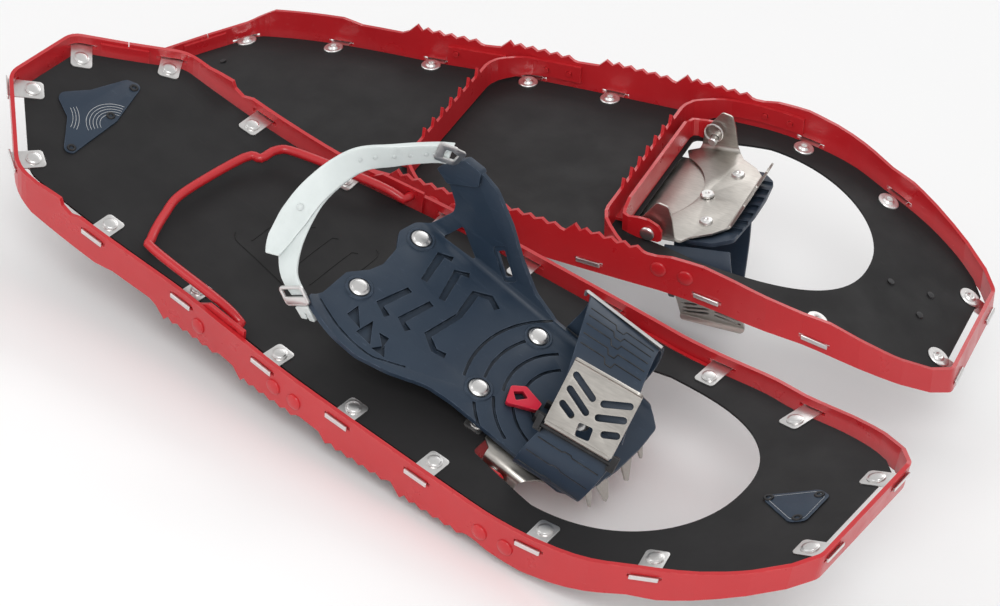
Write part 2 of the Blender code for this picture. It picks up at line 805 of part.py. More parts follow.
def toothed_blade(line, bar_half, bar_x, top, depth):
    """A crossbar blade with teeth on its lower edge and plain arms."""
    teeth = []
    count = round(2 * bar_half / BAR_TOOTH_PITCH)
    for number in range(count):
        y = bar_half - BAR_TOOTH_PITCH * (number + 0.5)
        teeth.append((bar_x, y + 4.0, depth))
        teeth.append((bar_x, y, depth + BAR_TOOTH))
        teeth.append((bar_x, y - 2.0, depth))
    rows = []
    for x, y in line:
        share = min(1.0, max(0.0, (abs(x - bar_x) - 2) / 25))
        low = depth + (ARM_DEPTH - depth) * share
        high = top + (ARM_TOP - top) * share
        rows.append([(x, y, -low), (x, y, high)])
    rows += [[(x, y, -low), (x, y, top)] for x, y, low in teeth]
    for x, y in reversed(line):
        share = min(1.0, max(0.0, (abs(x - bar_x) - 2) / 25))
        low = depth + (ARM_DEPTH - depth) * share
        high = top + (ARM_TOP - top) * share
        rows.append([(x, -y, -low), (x, -y, high)])
    for row in rows:
        for index, (x, y, z) in enumerate(row):
            row[index] = (x, y, z + deck_height(x))
    return band(rows, BAR_SHEET)


def flange(x0, x1, half, top):
    z = MID_DECK_Z + top
    return box((x1 - x0, 2 * half, BAR_SHEET), ((x0 + x1) / 2, 0, z - BAR_SHEET / 2))


def rear_crossbar():
    line = arm_line(REAR_BAR_X, REAR_ARM_END, -118.0, 30.0)
    blade = toothed_blade(line, 52.0, REAR_BAR_X, ARM_TOP, BAR_DEPTH)
    shelf = flange(REAR_BAR_X - 10, REAR_BAR_X + 0.4, 56.0, ARM_TOP)
    bar = combined(blade, [shelf], "UNION")
    return combined(bar, [rail_rivet_cutters()], "DIFFERENCE")


def ear_blade():
    """The front blade, whose ends turn forward as the pivot ears."""
    x = FRONT_BAR_X + 9.0
    rows = []
    px, _, pz = PIVOT
    profile = [(px + EAR_RADIUS * 0.95, 3.5), (px + EAR_RADIUS * 0.7, 7.0), (px, EAR_RADIUS),
               (px - 7, EAR_RADIUS)]
    side = []
    for ear_x, reach in profile:
        side.append(((ear_x, EAR_HALF), pz - reach, pz + min(reach, 5.2)))
    side.append(((x + 5, EAR_HALF), pz - 9, pz + 3.5))
    side.append(((x + 1.2, EAR_HALF - 1.5), pz - 9.5, pz + 3.5))
    side.append(((x, EAR_HALF - 6), pz - 10, pz + 3.5))
    for (ear_x, ear_y), low, high in side:
        rows.append([(ear_x, ear_y, low), (ear_x, ear_y, high)])
    low = MID_DECK_Z - BAR_DEPTH
    for y in (50.0, 25.0, 0.0, -25.0, -50.0):
        rows.append([(x, y, low), (x, y, pz + 3.5)])
    for (ear_x, ear_y), low_z, high in reversed(side):
        rows.append([(ear_x, -ear_y, low_z), (ear_x, -ear_y, high)])
    return band(rows, BAR_SHEET)


def front_crossbar():
    line = arm_line(FRONT_BAR_X, FRONT_ARM_END, 30.0, 32.0)
    blade = toothed_blade(line, 52.0, FRONT_BAR_X, ARM_TOP, BAR_DEPTH)
    web = flange(FRONT_BAR_X - 0.4, FRONT_BAR_X + 9.4, 54.0, ARM_TOP)
    bar = combined(blade, [web, ear_blade()], "UNION")
    pin_hole = turned([(0, 80), (PIN_RADIUS + GAP, 80), (PIN_RADIUS + GAP, -80), (0, -80)], 8)
    pin_hole = across_y(pin_hole, PIVOT)
    return combined(bar, [rail_rivet_cutters(), pin_hole], "DIFFERENCE")


def across_y(bm, centre):
    """Turns a solid made along Z so that it lies along Y, and moves it."""
    bmesh.ops.rotate(bm, matrix=Matrix.Rotation(-math.pi / 2, 3, "X"), verts=bm.verts)
    bmesh.ops.translate(bm, vec=centre, verts=bm.verts)
    return bm


def pivot_pin(side):
    """A headed pin through one pair of ears, cross-drilled for its split ring."""
    outer = EAR_HALF + BAR_SHEET / 2 + GAP
    profile = [(0, outer + 2), (4.4, outer + 2), (4.8, outer + 1), (4.8, outer),
               (PIN_RADIUS, outer), (PIN_RADIUS, PIN_INNER_END), (0, PIN_INNER_END)]
    pin = turned(profile, 8)
    hole = along_x(turned([(0, 9), (1.25, 9), (1.25, -9), (0, -9)], HEX))
    bmesh.ops.translate(hole, vec=(0, 0.35, SPLIT_RING_Y), verts=hole.verts)
    pin = across_y(combined(pin, [hole], "DIFFERENCE"), (0, 0, 0))
    if side < 0:
        bmesh.ops.rotate(pin, matrix=Matrix.Rotation(math.pi, 3, "Z"), verts=pin.verts)
    bmesh.ops.translate(pin, vec=PIVOT, verts=pin.verts)
    return pin


def split_ring():
    """The ring that keeps the inner pin in its ears, open by a small gap."""
    points = circle(SPLIT_RING_RADIUS, 14, turn=math.radians(-75))[:-1]
    ring = [(x, 0.0, z - SPLIT_RING_RADIUS) for x, z in points]
    curve = tube(ring, 0.55)
    bmesh.ops.translate(curve, vec=(PIVOT[0], SPLIT_RING_Y, PIVOT[2]), verts=curve.verts)
    return curve


# ---------------------------------------------------------------- heel lifter

def heel_lifter():
    """The bail, lying back along the deck, with its ends bent out into the brackets."""
    x, _, z = LIFTER_AXIS
    end = half_width(x) - RAIL_SHEET - 0.6
    corners = [(x - 1, -end + 8, z)] + [(px, py, LIFTER_Z) for px, py in LIFTER_PATH]
    corners += [(x - 1, end - 8, z)]
    bail = spline_through(corners, 14.0)
    line = [(x, -end, z), (x, -end + 4, z)] + bail + [(x, end - 4, z), (x, end, z)]
    return tube(line, LIFTER_WIRE)


def lifter_bracket(side):
    """A plate inside the rail, drilled for the lifter's end and its rivet."""
    clear = RAIL_SHEET + GAP + BRACKET_SHEET / 2
    rows = []
    for x in (BRACKET_BACK, -175.0, -163.0, BRACKET_FRONT):
        y = side * (half_width(x) - clear)
        z = deck_height(x)
        rise = 3.5 if x == BRACKET_BACK else 12.5
        rows.append([(x, y, z - 13), (x, y, z + rise)])
    x, _, z = LIFTER_AXIS
    radius = LIFTER_WIRE + GAP + 0.2
    hole = across_y(turned([(0, 100), (radius, 100), (radius, -100), (0, -100)], 8), (x, 0, z))
    return combined(band(rows, BRACKET_SHEET), [hole, rail_rivet_cutters()], "DIFFERENCE")


# ---------------------------------------------------------------- crampon and axis

def crampon_outline():
    """Flat blank of the crampon, with its ears and claws still unfolded."""
    half = [(48, 6), (68, 9), (70, 12), (52, 19), (50, 23), (66, 27), (45, 31), (36, 42),
            (24, 50), (16.5, STEEL_EAR_HALF + 1), (15.5, STEEL_EAR_HALF + 16), (13.5, STEEL_EAR_HALF + 25),
            (6, STEEL_EAR_HALF + 27), (0, STEEL_EAR_HALF + 20), (-7, STEEL_EAR_HALF + 12),
            (-8.5, STEEL_EAR_HALF + 4), (-10, 55), (-17, 50)]
    notch = [(2.0, 40.0), (8.5, 24.0), (11.5, 8.0)]
    side = half + [(-16, 42)] + notch
    return side + [(x, -y) for x, y in reversed(side)]


def crampon_plate():
    plate = sheet(crampon_outline(), STEEL_SHEET, [circle(3.0, 8, (AXIS_X, 0.0))])
    bmesh.ops.translate(plate, vec=(0, 0, CRAMPON_Z), verts=plate.verts)
    radius = 4.0
    quarter = math.pi / 2
    bend = STEEL_EAR_HALF - STEEL_SHEET / 2 - radius
    for side in (1, -1):
        fold(plate, (0, side * bend, CRAMPON_Z), (side, 0, 0), (0, side, 0), quarter, radius)
    fold(plate, (42, 0, CRAMPON_Z), (0, -1, 0), (1, 0, 0), math.radians(62), radius)
    hole = turned([(0, 80), (PIN_RADIUS + GAP, 80), (PIN_RADIUS + GAP, -80), (0, -80)], 8)
    plate = combined(plate, [across_y(hole, (0, 0, 0))], "DIFFERENCE")
    return combined(plate, [crampon_rivets()], "UNION")


def crampon_rivets():
    """The two rivet ends that stand below the plate."""
    low = CRAMPON_Z - STEEL_SHEET / 2
    rivet = turned([(0, low + 0.3), (4.6, low + 0.3), (4.0, low - 1.6), (0, low - 1.6)], HEX)
    spots = [(27.3, 30.0), (27.3, -30.0)]
    return join([placed(rivet, Matrix.Translation((x, y, 0))) for x, y in spots])


def axis_plate():
    """The steel plate under the base that turns on the crampon."""
    outline = rounded_outline([(-46, -40, 8), (-46, 40, 8), (-2, 44, 14), (22, 16, 12), (22, -16, 12),
                               (-2, -44, 14)], 3)
    hole = circle(3.0, 8, (AXIS_X, 0.0))
    plate = sheet(outline, AXIS_PLATE_SHEET, [hole, *base_rivet_holes(TOE_RIVETS)])
    bmesh.ops.translate(plate, vec=(0, 0, AXIS_PLATE_Z), verts=plate.verts)
    return plate


def axis_rivet():
    """The rivet the binding turns on, its head in a hole of the base."""
    top = AXIS_PLATE_Z + AXIS_PLATE_SHEET / 2 + GAP
    low = CRAMPON_Z - STEEL_SHEET / 2 - GAP
    profile = [(0, top + 1.6), (5, top + 1.3), (5, top), (2.6, top), (2.6, low), (4.6, low),
               (4.0, low - 1.8), (0, low - 1.8)]
    rivet = turned(profile, 8)
    bmesh.ops.translate(rivet, vec=(AXIS_X, 0, 0), verts=rivet.verts)
    return rivet


# ---------------------------------------------------------------- binding base

def base_rivet_holes(spots):
    x, half = spots
    return [circle(RIVET_HOLE + 0.3, HEX, (x, side * half)) for side in (1, -1)]


def base_outline():
    """Flat blank of the base, the far arm still unfolded beyond y = 47."""
    return rounded_outline([
        (-149, -28, 5), (-148, -52, 4), (-151, -62, 4), (-146, -69, 5), (-136, -70, 8),
        (-108, -68, 12), (-62, -53, 14), (-46, -51, 6), (10, -50, 10), (38, -49, 6), (53, -40, 6),
        (57.5, -8, 10), (57, 14, 10), (51, 34, 6), (38, 46, 6), (-4, 47.5, 4), (-42, 47.5, 6),
        (-62, 60, 10), (-92, 87, 10), (-111, 101, 8), (-137, 105, 4), (-150, 92, 3), (-128, 69, 8),
        (-137, 46, 6), (-147, 38, 8), (-149, 24, 5), (-140, 5, 4), (-140, -12, 4)])


def arm_windows():
    """The triangular window and the strap slot of the far arm."""
    window = [(-127, 46), (-120, 60), (-104, 47)]
    slot = [(-93, 63), (-90, 67), (-78, 55), (-81, 51)]
    return [window, slot]


def binding_base():
    holes = base_rivet_holes(HEEL_RIVETS) + base_rivet_holes(TOE_RIVETS) + arm_windows()
    holes.append(circle(AXIS_HOLE, 12, (AXIS_X, 0.0)))
    plate = sheet(base_outline(), BASE_SHEET, holes)
    bmesh.ops.translate(plate, vec=(0, 0, BASE_Z), verts=plate.verts)
    fold(plate, (-90, 41, BASE_Z), (-1, 0, 0), (0, 1, 0), math.radians(84), 6.0)
    lean = Vector((-0.55, -1, 0)).normalized()
    along = Vector((lean.y, -lean.x, 0))
    fold(plate, (-140, -57, BASE_Z), along, lean, math.radians(-28), 10.0)
    return plate


def base_rivet(spots, side):
    """One domed rivet through the base and the steel plate under it."""
    top = BASE_Z + BASE_SHEET / 2 + GAP
    low = AXIS_PLATE_Z - AXIS_PLATE_SHEET / 2 - GAP
    profile = [(0, top + 2.6), (BASE_RIVET_HEAD * 0.8, top + 2.1), (BASE_RIVET_HEAD, top + 0.4),
               (BASE_RIVET_HEAD, top), (RIVET_SHANK, top), (RIVET_SHANK, low),
               (4.0, low), (4.0, low - 1.0), (0, low - 1.0)]
    rivet = turned(profile, 8)
    bmesh.ops.translate(rivet, vec=(spots[0], side * spots[1], 0), verts=rivet.verts)
    return rivet


def heel_plate():
    """A thin stiffener under the heel, held by the heel rivets."""
    outline = rounded_outline([(-144, -38, 6), (-144, -22, 5), (-134, -14, 5), (-134, 14, 5),
                               (-144, 22, 5), (-144, 38, 6), (-122, 38, 8), (-122, -38, 8)], 2)
    plate = sheet(outline, AXIS_PLATE_SHEET, base_rivet_holes(HEEL_RIVETS))
    bmesh.ops.translate(plate, vec=(0, 0, AXIS_PLATE_Z), verts=plate.verts)
    return plate


def axis_lever():
    """The red lever, lying on the base, with a finger window."""
    outline = rounded_outline([(-30.5, -17, 3), (-27, -9, 3), (-6, -3, 2), (-4, -12, 2),
                               (-22, -21.5, 3)], 2)
    window = [(-27, -15), (-25, -11.5), (-18.5, -10.5), (-19, -15.5), (-23, -18)]
    lever = sheet(outline, 3.2, [window])
    z = BASE_Z + BASE_SHEET / 2 + GAP + 1.6
    bmesh.ops.translate(lever, vec=(0, 0, z), verts=lever.verts)
    return lever


# ---------------------------------------------------------------- toe straps

def strap_between(back, front, across=3, step=14.0):
    """A sheet between two edge lines."""
    back_line = spline_through(back, step)
    rows = []
    for index in range(len(back_line)):
        t = index / (len(back_line) - 1)
        start = point_along(back, t)
        end = point_along(front, t)
        rows.append([tuple(start.lerp(end, column / across)) for column in range(across + 1)])
    return band(rows, TOE_SHEET)


def point_along(points, t):
    """A point at share t of the way along a smooth line."""
    line = [Vector(point) for point in spline_through(points, 2.0)]
    lengths = [0.0]
    for start, end in zip(line, line[1:]):
        lengths.append(lengths[-1] + (end - start).length)
    target = t * lengths[-1]
    for index in range(len(line) - 1):
        if target <= lengths[index + 1]:
            share = (target - lengths[index]) / (lengths[index + 1] - lengths[index])
            return line[index].lerp(line[index + 1], share)
    return line[-1]


def outer_toe_strap():
    return strap_between(NEAR_BACK, NEAR_FRONT)


def inner_toe_strap():
    return strap_between(FAR_BACK, FAR_FRONT)


def plate_frame():
    """Axes of the toe buckle plate: origin at the hinge end, X along the hinge."""
    back_low, front_low, front_high, back_high = [Vector(corner) for corner in PLATE_CORNERS]
    origin = (back_low + front_low) / 2
    x_axis = (front_low - back_low).normalized()
    up = (front_high + back_high) / 2 - origin
    z_axis = x_axis.cross(up).normalized()
    y_axis = z_axis.cross(x_axis)
    return Matrix.Translation(origin) @ Matrix((x_axis, y_axis, z_axis)).transposed().to_4x4()


def long_hole(x, y, length, width, turn):
    """A slot with rounded ends."""
    points = []
    for end in (1, -1):
        for index in range(4):
            angle = math.radians(-90 + 60 * index) + (0 if end > 0 else math.pi)
            points.append((end * (length - width) / 2 + width / 2 * math.cos(angle),
                           width / 2 * math.sin(angle)))
    cosine, sine = math.cos(turn), math.sin(turn)
    return [(x + px * cosine - py * sine, y + px * sine + py * cosine) for px, py in points]


def buckle_holes():
    """Two fans of three slots, and a window at the hinge edge."""
    holes = []
    for number, length in enumerate((15, 15, 9)):
        holes.append(long_hole(-13.5 + 1.2 * number, 29 - 9 * number, length, 3.6, math.radians(-38)))
        holes.append(long_hole(13.5 - 1.0 * number, 25 - 7.5 * number, length, 3.6, math.radians(14)))
    holes.append(rounded_outline([(-6, 2.5, 1.5), (6, 2.5, 1.5), (4.5, 11.5, 1.5), (-4.5, 11.5, 1.5)], 2))
    return holes


def toe_buckle():
    half = BUCKLE_LENGTH / 2
    outline = rounded_outline([(-half, 0, 1.5), (half, 0, 1.5), (half, BUCKLE_WIDTH + BUCKLE_LIP, 3),
                               (-half, BUCKLE_WIDTH + BUCKLE_LIP, 3)], 2)
    plate = sheet(outline, STEEL_SHEET, buckle_holes())
    fold(plate, (0, BUCKLE_WIDTH - 1.5, 0), (-1, 0, 0), (0, 1, 0), math.radians(70), 2.0)
    place = plate_frame() @ Matrix.Translation((0, 0, BUCKLE_STANDOFF))
    bmesh.ops.transform(plate, matrix=place, verts=plate.verts)
    return plate


def buckle_hinge():
    """The hinge pin below the buckle's lower edge, with its two end clips."""
    half = BUCKLE_LENGTH / 2
    z = BUCKLE_STANDOFF
    pin = tube([(-half - 3, BUCKLE_PIN_Y, z), (half + 3, BUCKLE_PIN_Y, z)], HINGE_PIN_RADIUS)
    clips = [box((4.0, 8.0, 3.4), (side * (half + HINGE_CLIP_REACH), -1.2, z + 0.2)) for side in (1, -1)]
    hinge = combined(pin, [join(clips)], "UNION")
    bmesh.ops.transform(hinge, matrix=plate_frame(), verts=hinge.verts)
    return hinge


# ---------------------------------------------------------------- heel strap

def heel_strap():
    """The rubber band behind the heel, from the near buckle to the far hook."""
    rows = []
    for place in spline_through(HEEL_STRAP_LINE, 13.0):
        x, y, z = place
        half = HEEL_STRAP_WIDTH / 2
        lean = HEEL_STRAP_LEAN * half
        rows.append([(x + lean, y, z - half), (x - lean, y, z + half)])
    return band(rows, HEEL_STRAP_SHEET)


def heel_buckle():
    """The frame and tongue at the near end of the heel strap."""
    opening = [(-6, -10.6), (6, -10.6), (6, 10.6), (-6, 10.6)]
    frame = sheet([(-9, -13), (9, -13), (9, 13), (-9, 13)], 2.0, [opening])
    place = (Matrix.Translation((-162, -67.2, 19.5)) @ Matrix.Rotation(math.radians(-17), 4, "Z")
             @ Matrix.Rotation(math.radians(90), 4, "X"))
    bmesh.ops.transform(frame, matrix=place, verts=frame.verts)
    return frame


def heel_hook():
    """The steel hook that joins the strap to the far arm."""
    hook = sheet(rounded_outline([(-8, -9, 2), (7, -9, 2), (7, 9, 2), (-8, 9, 2)], 2), 1.4)
    place = (Matrix.Translation((-141, 37.6, 80)) @ Matrix.Rotation(math.radians(26), 4, "Z")
             @ Matrix.Rotation(math.radians(90), 4, "X"))
    bmesh.ops.transform(hook, matrix=place, verts=hook.verts)
    return hook


# ---------------------------------------------------------------- assembly

FIXED_PARTS = [
    ("frame", frame_rail, "red_paint"),
    ("tail_splice", tail_splice, "red_paint"),
    ("deck", deck, "deck_black"),
    ("tail_badge", lambda: badge(tail_badge_outline(), badge_rivet_spots()[:3], [-355, -335]),
     "slate_plastic"),
    ("tip_badge", lambda: badge(tip_badge_outline(), badge_rivet_spots()[3:], [170, 190]),
     "slate_plastic"),
    ("rear_crossbar", rear_crossbar, "red_paint"),
    ("front_crossbar", front_crossbar, "red_paint"),
    ("inner_lifter_bracket", lambda: lifter_bracket(1), "red_paint"),
    ("outer_lifter_bracket", lambda: lifter_bracket(-1), "red_paint"),
    ("inner_pivot_pin", lambda: pivot_pin(1), "bright_steel"),
    ("outer_pivot_pin", lambda: pivot_pin(-1), "bright_steel"),
    ("split_ring", split_ring, "bright_steel"),
]
LIFTER_PARTS = [("heel_lifter", heel_lifter, "red_paint")]
CRAMPON_PARTS = [
    ("crampon_plate", crampon_plate, "brushed_steel"),
    ("axis_rivet", axis_rivet, "bright_steel"),
]
BASE_PARTS = [
    ("axis_plate", axis_plate, "brushed_steel"),
    ("binding_base", binding_base, "slate_plastic"),
    ("heel_plate", heel_plate, "brushed_steel"),
    ("inner_heel_rivet", lambda: base_rivet(HEEL_RIVETS, 1), "bright_steel"),
    ("outer_heel_rivet", lambda: base_rivet(HEEL_RIVETS, -1), "bright_steel"),
    ("inner_toe_rivet", lambda: base_rivet(TOE_RIVETS, 1), "bright_steel"),
    ("outer_toe_rivet", lambda: base_rivet(TOE_RIVETS, -1), "bright_steel"),
    ("outer_toe_strap", outer_toe_strap, "slate_plastic"),
    ("inner_toe_strap", inner_toe_strap, "slate_plastic"),
    ("buckle_hinge", buckle_hinge, "black_plastic"),
]
LEVER_PARTS = [("axis_lever", axis_lever, "lever_red")]
BUCKLE_PARTS = [("toe_buckle", toe_buckle, "brushed_steel")]
STRAP_PARTS = [
    ("heel_strap", heel_strap, "pale_rubber"),
    ("heel_buckle", heel_buckle, "bright_steel"),
    ("heel_hook", heel_hook, "bright_steel"),
]


def mirror_across_y(bm):
    for vertex in bm.verts:
        vertex.co.y = -vertex.co.y
    bmesh.ops.reverse_faces(bm, faces=bm.faces)
    return bm


def add_part(name, bm, material, parent, mirrored, collection, origin):
    """Finishes one node: mirrored for the left shoe, in metres, with its origin moved."""
    bmesh.ops.translate(bm, vec=-Vector(origin), verts=bm.verts)
    if mirrored:
        mirror_across_y(bm)
    bmesh.ops.scale(bm, vec=(MM, MM, MM), verts=bm.verts)
    thing = object_from(bm, name, collection)
    thing.data.materials.append(make_material(material))
    thing.data.shade_smooth()
    thing.data.set_sharp_from_angle(angle=math.radians(35))
    thing.parent = parent


def add_empty(name, collection, parent=None, place=(0, 0, 0), turn=(0, 0, 0)):
    empty = bpy.data.objects.new(name, None)
    empty.location = Vector(place) * MM
    empty.rotation_euler = [math.radians(angle) for angle in turn]
    empty.parent = parent
    collection.objects.link(empty)
    return empty


def buckle_pin():
    """The middle of the toe buckle's hinge pin, in the binding frame."""
    return tuple(plate_frame() @ Vector((0, BUCKLE_PIN_Y, BUCKLE_STANDOFF)))


def build_shoe(side, place, turn, pitch, upside_down, collection):
    """One shoe: a tree of empties on the joint axes, with the parts under them."""
    mirrored = side == "left"
    flip = (180.0, 0.0, 0.0) if upside_down else (0.0, 0.0, 0.0)

    def pivot(name, parent, spot, before=(0, 0, 0), angle=0.0):
        x, y, z = Vector(spot) - Vector(before)
        spot = (x, -y if mirrored else y, z)
        return add_empty(f"{side}_{name}", collection, parent, spot, (0, angle, 0))

    def fill(parts, parent, origin=(0, 0, 0)):
        for name, build, material in parts:
            add_part(f"{side}_{name}", build(), material, parent, mirrored, collection, origin)

    seat = add_empty(f"{side}_seat", collection, None, place, turn)
    shoe = add_empty(f"{side}_shoe", collection, seat, (0, 0, 0), flip)
    binding = pivot("binding_pivot", shoe, PIVOT, angle=pitch)
    axis = pivot("axis_pivot", binding, AXIS_PLACE)
    fill(FIXED_PARTS, shoe)
    fill(LIFTER_PARTS, pivot("lifter_pivot", shoe, LIFTER_AXIS), LIFTER_AXIS)
    fill(CRAMPON_PARTS, binding)
    fill(BASE_PARTS, axis, AXIS_PLACE)
    fill(LEVER_PARTS, pivot("lever_pivot", axis, LEVER_PIN, AXIS_PLACE), LEVER_PIN)
    fill(BUCKLE_PARTS, pivot("buckle_pivot", axis, buckle_pin(), AXIS_PLACE), buckle_pin())
    fill(STRAP_PARTS, pivot("strap_pivot", axis, STRAP_PIN, AXIS_PLACE), STRAP_PIN)


def main():
    clear_scene()
    snowshoes = make_collection("snowshoes")
    build_shoe("right", RIGHT_PLACE, RIGHT_TURN, RIGHT_PITCH, False, snowshoes)
    build_shoe("left", LEFT_PLACE, LEFT_TURN, LEFT_PITCH, True, snowshoes)


main()
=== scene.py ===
"""Looks for a pair of snowshoes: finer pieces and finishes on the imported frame.

Each piece is shaped once in millimetres, in the shoe frame (+X to the tip,
+Y to the wearer's left, +Z up, origin on the deck over the front crossbar) or
in the binding frame on the pivot axis, and is then put on both shoes.
"""

import json
import math

import bmesh
import bpy
from mathutils import Euler, Matrix, Vector

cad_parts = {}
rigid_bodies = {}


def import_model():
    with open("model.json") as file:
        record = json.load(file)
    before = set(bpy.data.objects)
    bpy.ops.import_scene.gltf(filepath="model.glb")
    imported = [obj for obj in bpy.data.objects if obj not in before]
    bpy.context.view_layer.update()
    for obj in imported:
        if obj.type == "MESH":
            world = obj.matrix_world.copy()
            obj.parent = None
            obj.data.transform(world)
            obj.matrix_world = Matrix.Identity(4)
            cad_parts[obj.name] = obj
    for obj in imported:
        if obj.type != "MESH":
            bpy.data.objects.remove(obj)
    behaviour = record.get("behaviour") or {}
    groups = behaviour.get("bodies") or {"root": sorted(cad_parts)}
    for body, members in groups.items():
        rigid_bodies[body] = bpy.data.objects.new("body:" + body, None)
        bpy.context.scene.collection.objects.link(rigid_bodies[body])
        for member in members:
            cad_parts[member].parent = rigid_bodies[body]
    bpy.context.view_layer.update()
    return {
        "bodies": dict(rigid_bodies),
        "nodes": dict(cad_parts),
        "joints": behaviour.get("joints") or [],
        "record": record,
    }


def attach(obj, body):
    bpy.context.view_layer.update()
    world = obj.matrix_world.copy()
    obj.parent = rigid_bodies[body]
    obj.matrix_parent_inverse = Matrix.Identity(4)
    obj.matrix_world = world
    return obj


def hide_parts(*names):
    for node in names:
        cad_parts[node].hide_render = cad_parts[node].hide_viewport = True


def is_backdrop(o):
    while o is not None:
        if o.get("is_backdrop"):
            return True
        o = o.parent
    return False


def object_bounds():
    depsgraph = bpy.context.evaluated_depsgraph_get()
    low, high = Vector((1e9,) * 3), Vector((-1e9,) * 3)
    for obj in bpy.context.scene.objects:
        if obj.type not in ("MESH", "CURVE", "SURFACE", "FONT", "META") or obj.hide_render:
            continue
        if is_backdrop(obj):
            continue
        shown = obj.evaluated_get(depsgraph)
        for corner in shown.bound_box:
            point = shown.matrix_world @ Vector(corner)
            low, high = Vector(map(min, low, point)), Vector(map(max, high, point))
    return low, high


MM = 0.001
FLAT_ANGLE = 0.002
SMOOTH_ANGLE = 32.0
BEVEL_ANGLE = 40.0
PAINT_EDGE = 0.0006
STEEL_EDGE = 0.0002
CUT_DISTANCE = 1e-5
FOLD_START = 1e-4
WELD = 0.001
WELD_AFTER_CUT = 0.0005
THROUGH = 80.0

# Frame rail: outside half-widths of one side, from the tail to the tip
TAIL_END_X = -397.0
TAIL_END_HALF = 29.0
TAIL_CORNER = (-340.0, 81.5)
TAIL_END_RADIUS = 16.0
TAIL_CORNER_RADIUS = 26.0
SIDE = [(-300, 82.5), (-210, 84), (-165, 88.5), (-110, 94.5), (-40, 98.3),
        (50, 101.5), (110, 100), (143, 92), (179, 83), (205, 72), (222, 60.5)]
TIP_END_X = 233.0
TIP_END_HALF = 47.0
TIP_CORNER_RADIUS = 9.0
RAIL_SHEET = 2.6

# Deck sheet
DECK_SHEET = 1.6
DECK_INSET = 9.0
DECK_STEP = 7
MID_DECK_Z = -1.5
TAIL_RISE_START = -190.0
TAIL_RISE = 25.5
TAIL_RISE_POWER = 2.3
TIP_RISE_START = 45.0
TIP_RISE_END = 220.2
TIP_RISE = 55.5
TIP_RISE_POWER = 1.75
TOE_HOLE_BACK = 10.0
TOE_HOLE_MIDDLE = 62.0
TOE_HOLE_FRONT = 157.0
TOE_HOLE_BACK_HALF = 60.0
TOE_HOLE_HALF = 72.0
TOE_HOLE_POWER = 2.2
DECK_GROOVES = [
    [(-214, -15), (-209, -20), (-190, -24), (-150, -33)],
    [(-201.5, -13.7), (-201.5, 18), (-199, 22)],
    [(-184, -10), (-184, 21), (-181, 24)],
    [(-167, -14), (-167, 24), (-163.5, 26)],
    [(-149.5, -19), (-149.5, 22), (-146, 24)],
    [(-135, 8), (-135.5, 30), (-140, 35)],
]

# Clips: rivet places along one side, as x and half-width
CLIP_RIVETS = [(-382.0, 22.5), (-341.5, 63.5), (-272.0, 67.5), (-195.3, 71.0), (-123.0, 79.0),
               (-62.0, 83.0), (0.0, 84.0), (81.0, 85.0), (147.0, 73.5), (219.0, 35.5)]
CROSSBAR_CLIP_HALF = 41.0
CLIP_SHEET = 1.0
CLIP_PROUD = 0.4
CLIP_REACH_LIMIT = 40.0
CLIP_BAR = (1.5, 17.0, 3.4)
CLIP_HALF = 7.0
CLIP_TAIL = -7.2
CLIP_Z = DECK_SHEET / 2 + CLIP_SHEET / 2 - 0.2
CROSSBAR_CLIP_REACH = 5.0
RIVET_HEAD = 5.0
WASHER_RADIUS = 7.0

# Rivets that hold the crossbars and the lifter brackets to the rail
BAR_RIVETS = [-114.0, -97.0, 48.0, 66.5, -181.0]
BAR_RIVET_H = -8.5

# Heel lifter
LIFTER_AXIS = (-153.0, 0.0, 5.0)
LIFTER_WIRE = 3.0
LIFTER_Z = 9.3
LIFTER_PATH = [(-172, -77), (-232, -70.5), (-240, -65), (-250, -41), (-255, -18),
               (-250, 34), (-242, 41), (-240, 54), (-228, 62), (-172, 74)]

# Binding, in its own frame on the pivot axis
PIVOT = (25.7, 0.0, -7.7)
EAR_HALF = 63.5
BAR_SHEET = 2.2
GAP = 0.3
STEEL_EAR_HALF = 59.8
STEEL_SHEET = 1.5
PIN_RADIUS = 3.0
PIN_INNER_END = 52.6
SPLIT_RING_Y = 55.2
SPLIT_RING_RADIUS = 6.5
RING_POINTS = 60
CRAMPON_Z = 8.0
AXIS_PLATE_Z = 9.7
AXIS_PLATE_SHEET = 1.0
BASE_Z = 11.9
BASE_SHEET = 3.0
BASE_TOP = BASE_Z + BASE_SHEET / 2
BASE_LOW = BASE_Z - BASE_SHEET / 2
AXIS_X = 16.6
AXIS_HOLE = 6.5
HEEL_RIVETS = (-136.0, 30.0)
TOE_RIVETS = (-40.0, 30.0)
BASE_RIVET_HEAD = 6.2
TOE_SHEET = 2.6
BASE_RIVET_HOLE = 2.7
ARM_END_SHEET = 6.4
ARM_FOLD = 84.0
ARM_BEND = 6.0
ARM_FOLD_PLACE = (-90, 41, BASE_Z)
WING_FOLD = -28.0
WING_BEND = 10.0
WING_LEAN = (-0.55, -1, 0)
WING_FOLD_PLACE = (-140, -57, BASE_Z)
CLAW_FOLD = 62.0
CLAW_FOLD_X = 42
EAR_BEND = 4.0
CHANNEL_WIDTH = 4.2
CHANNEL_DEPTH = 2.0
RING_GROOVE = 2.0
RING_DEPTH = 1.5
EDGE_GROOVE = 1.4
EDGE_DEPTH = 0.75

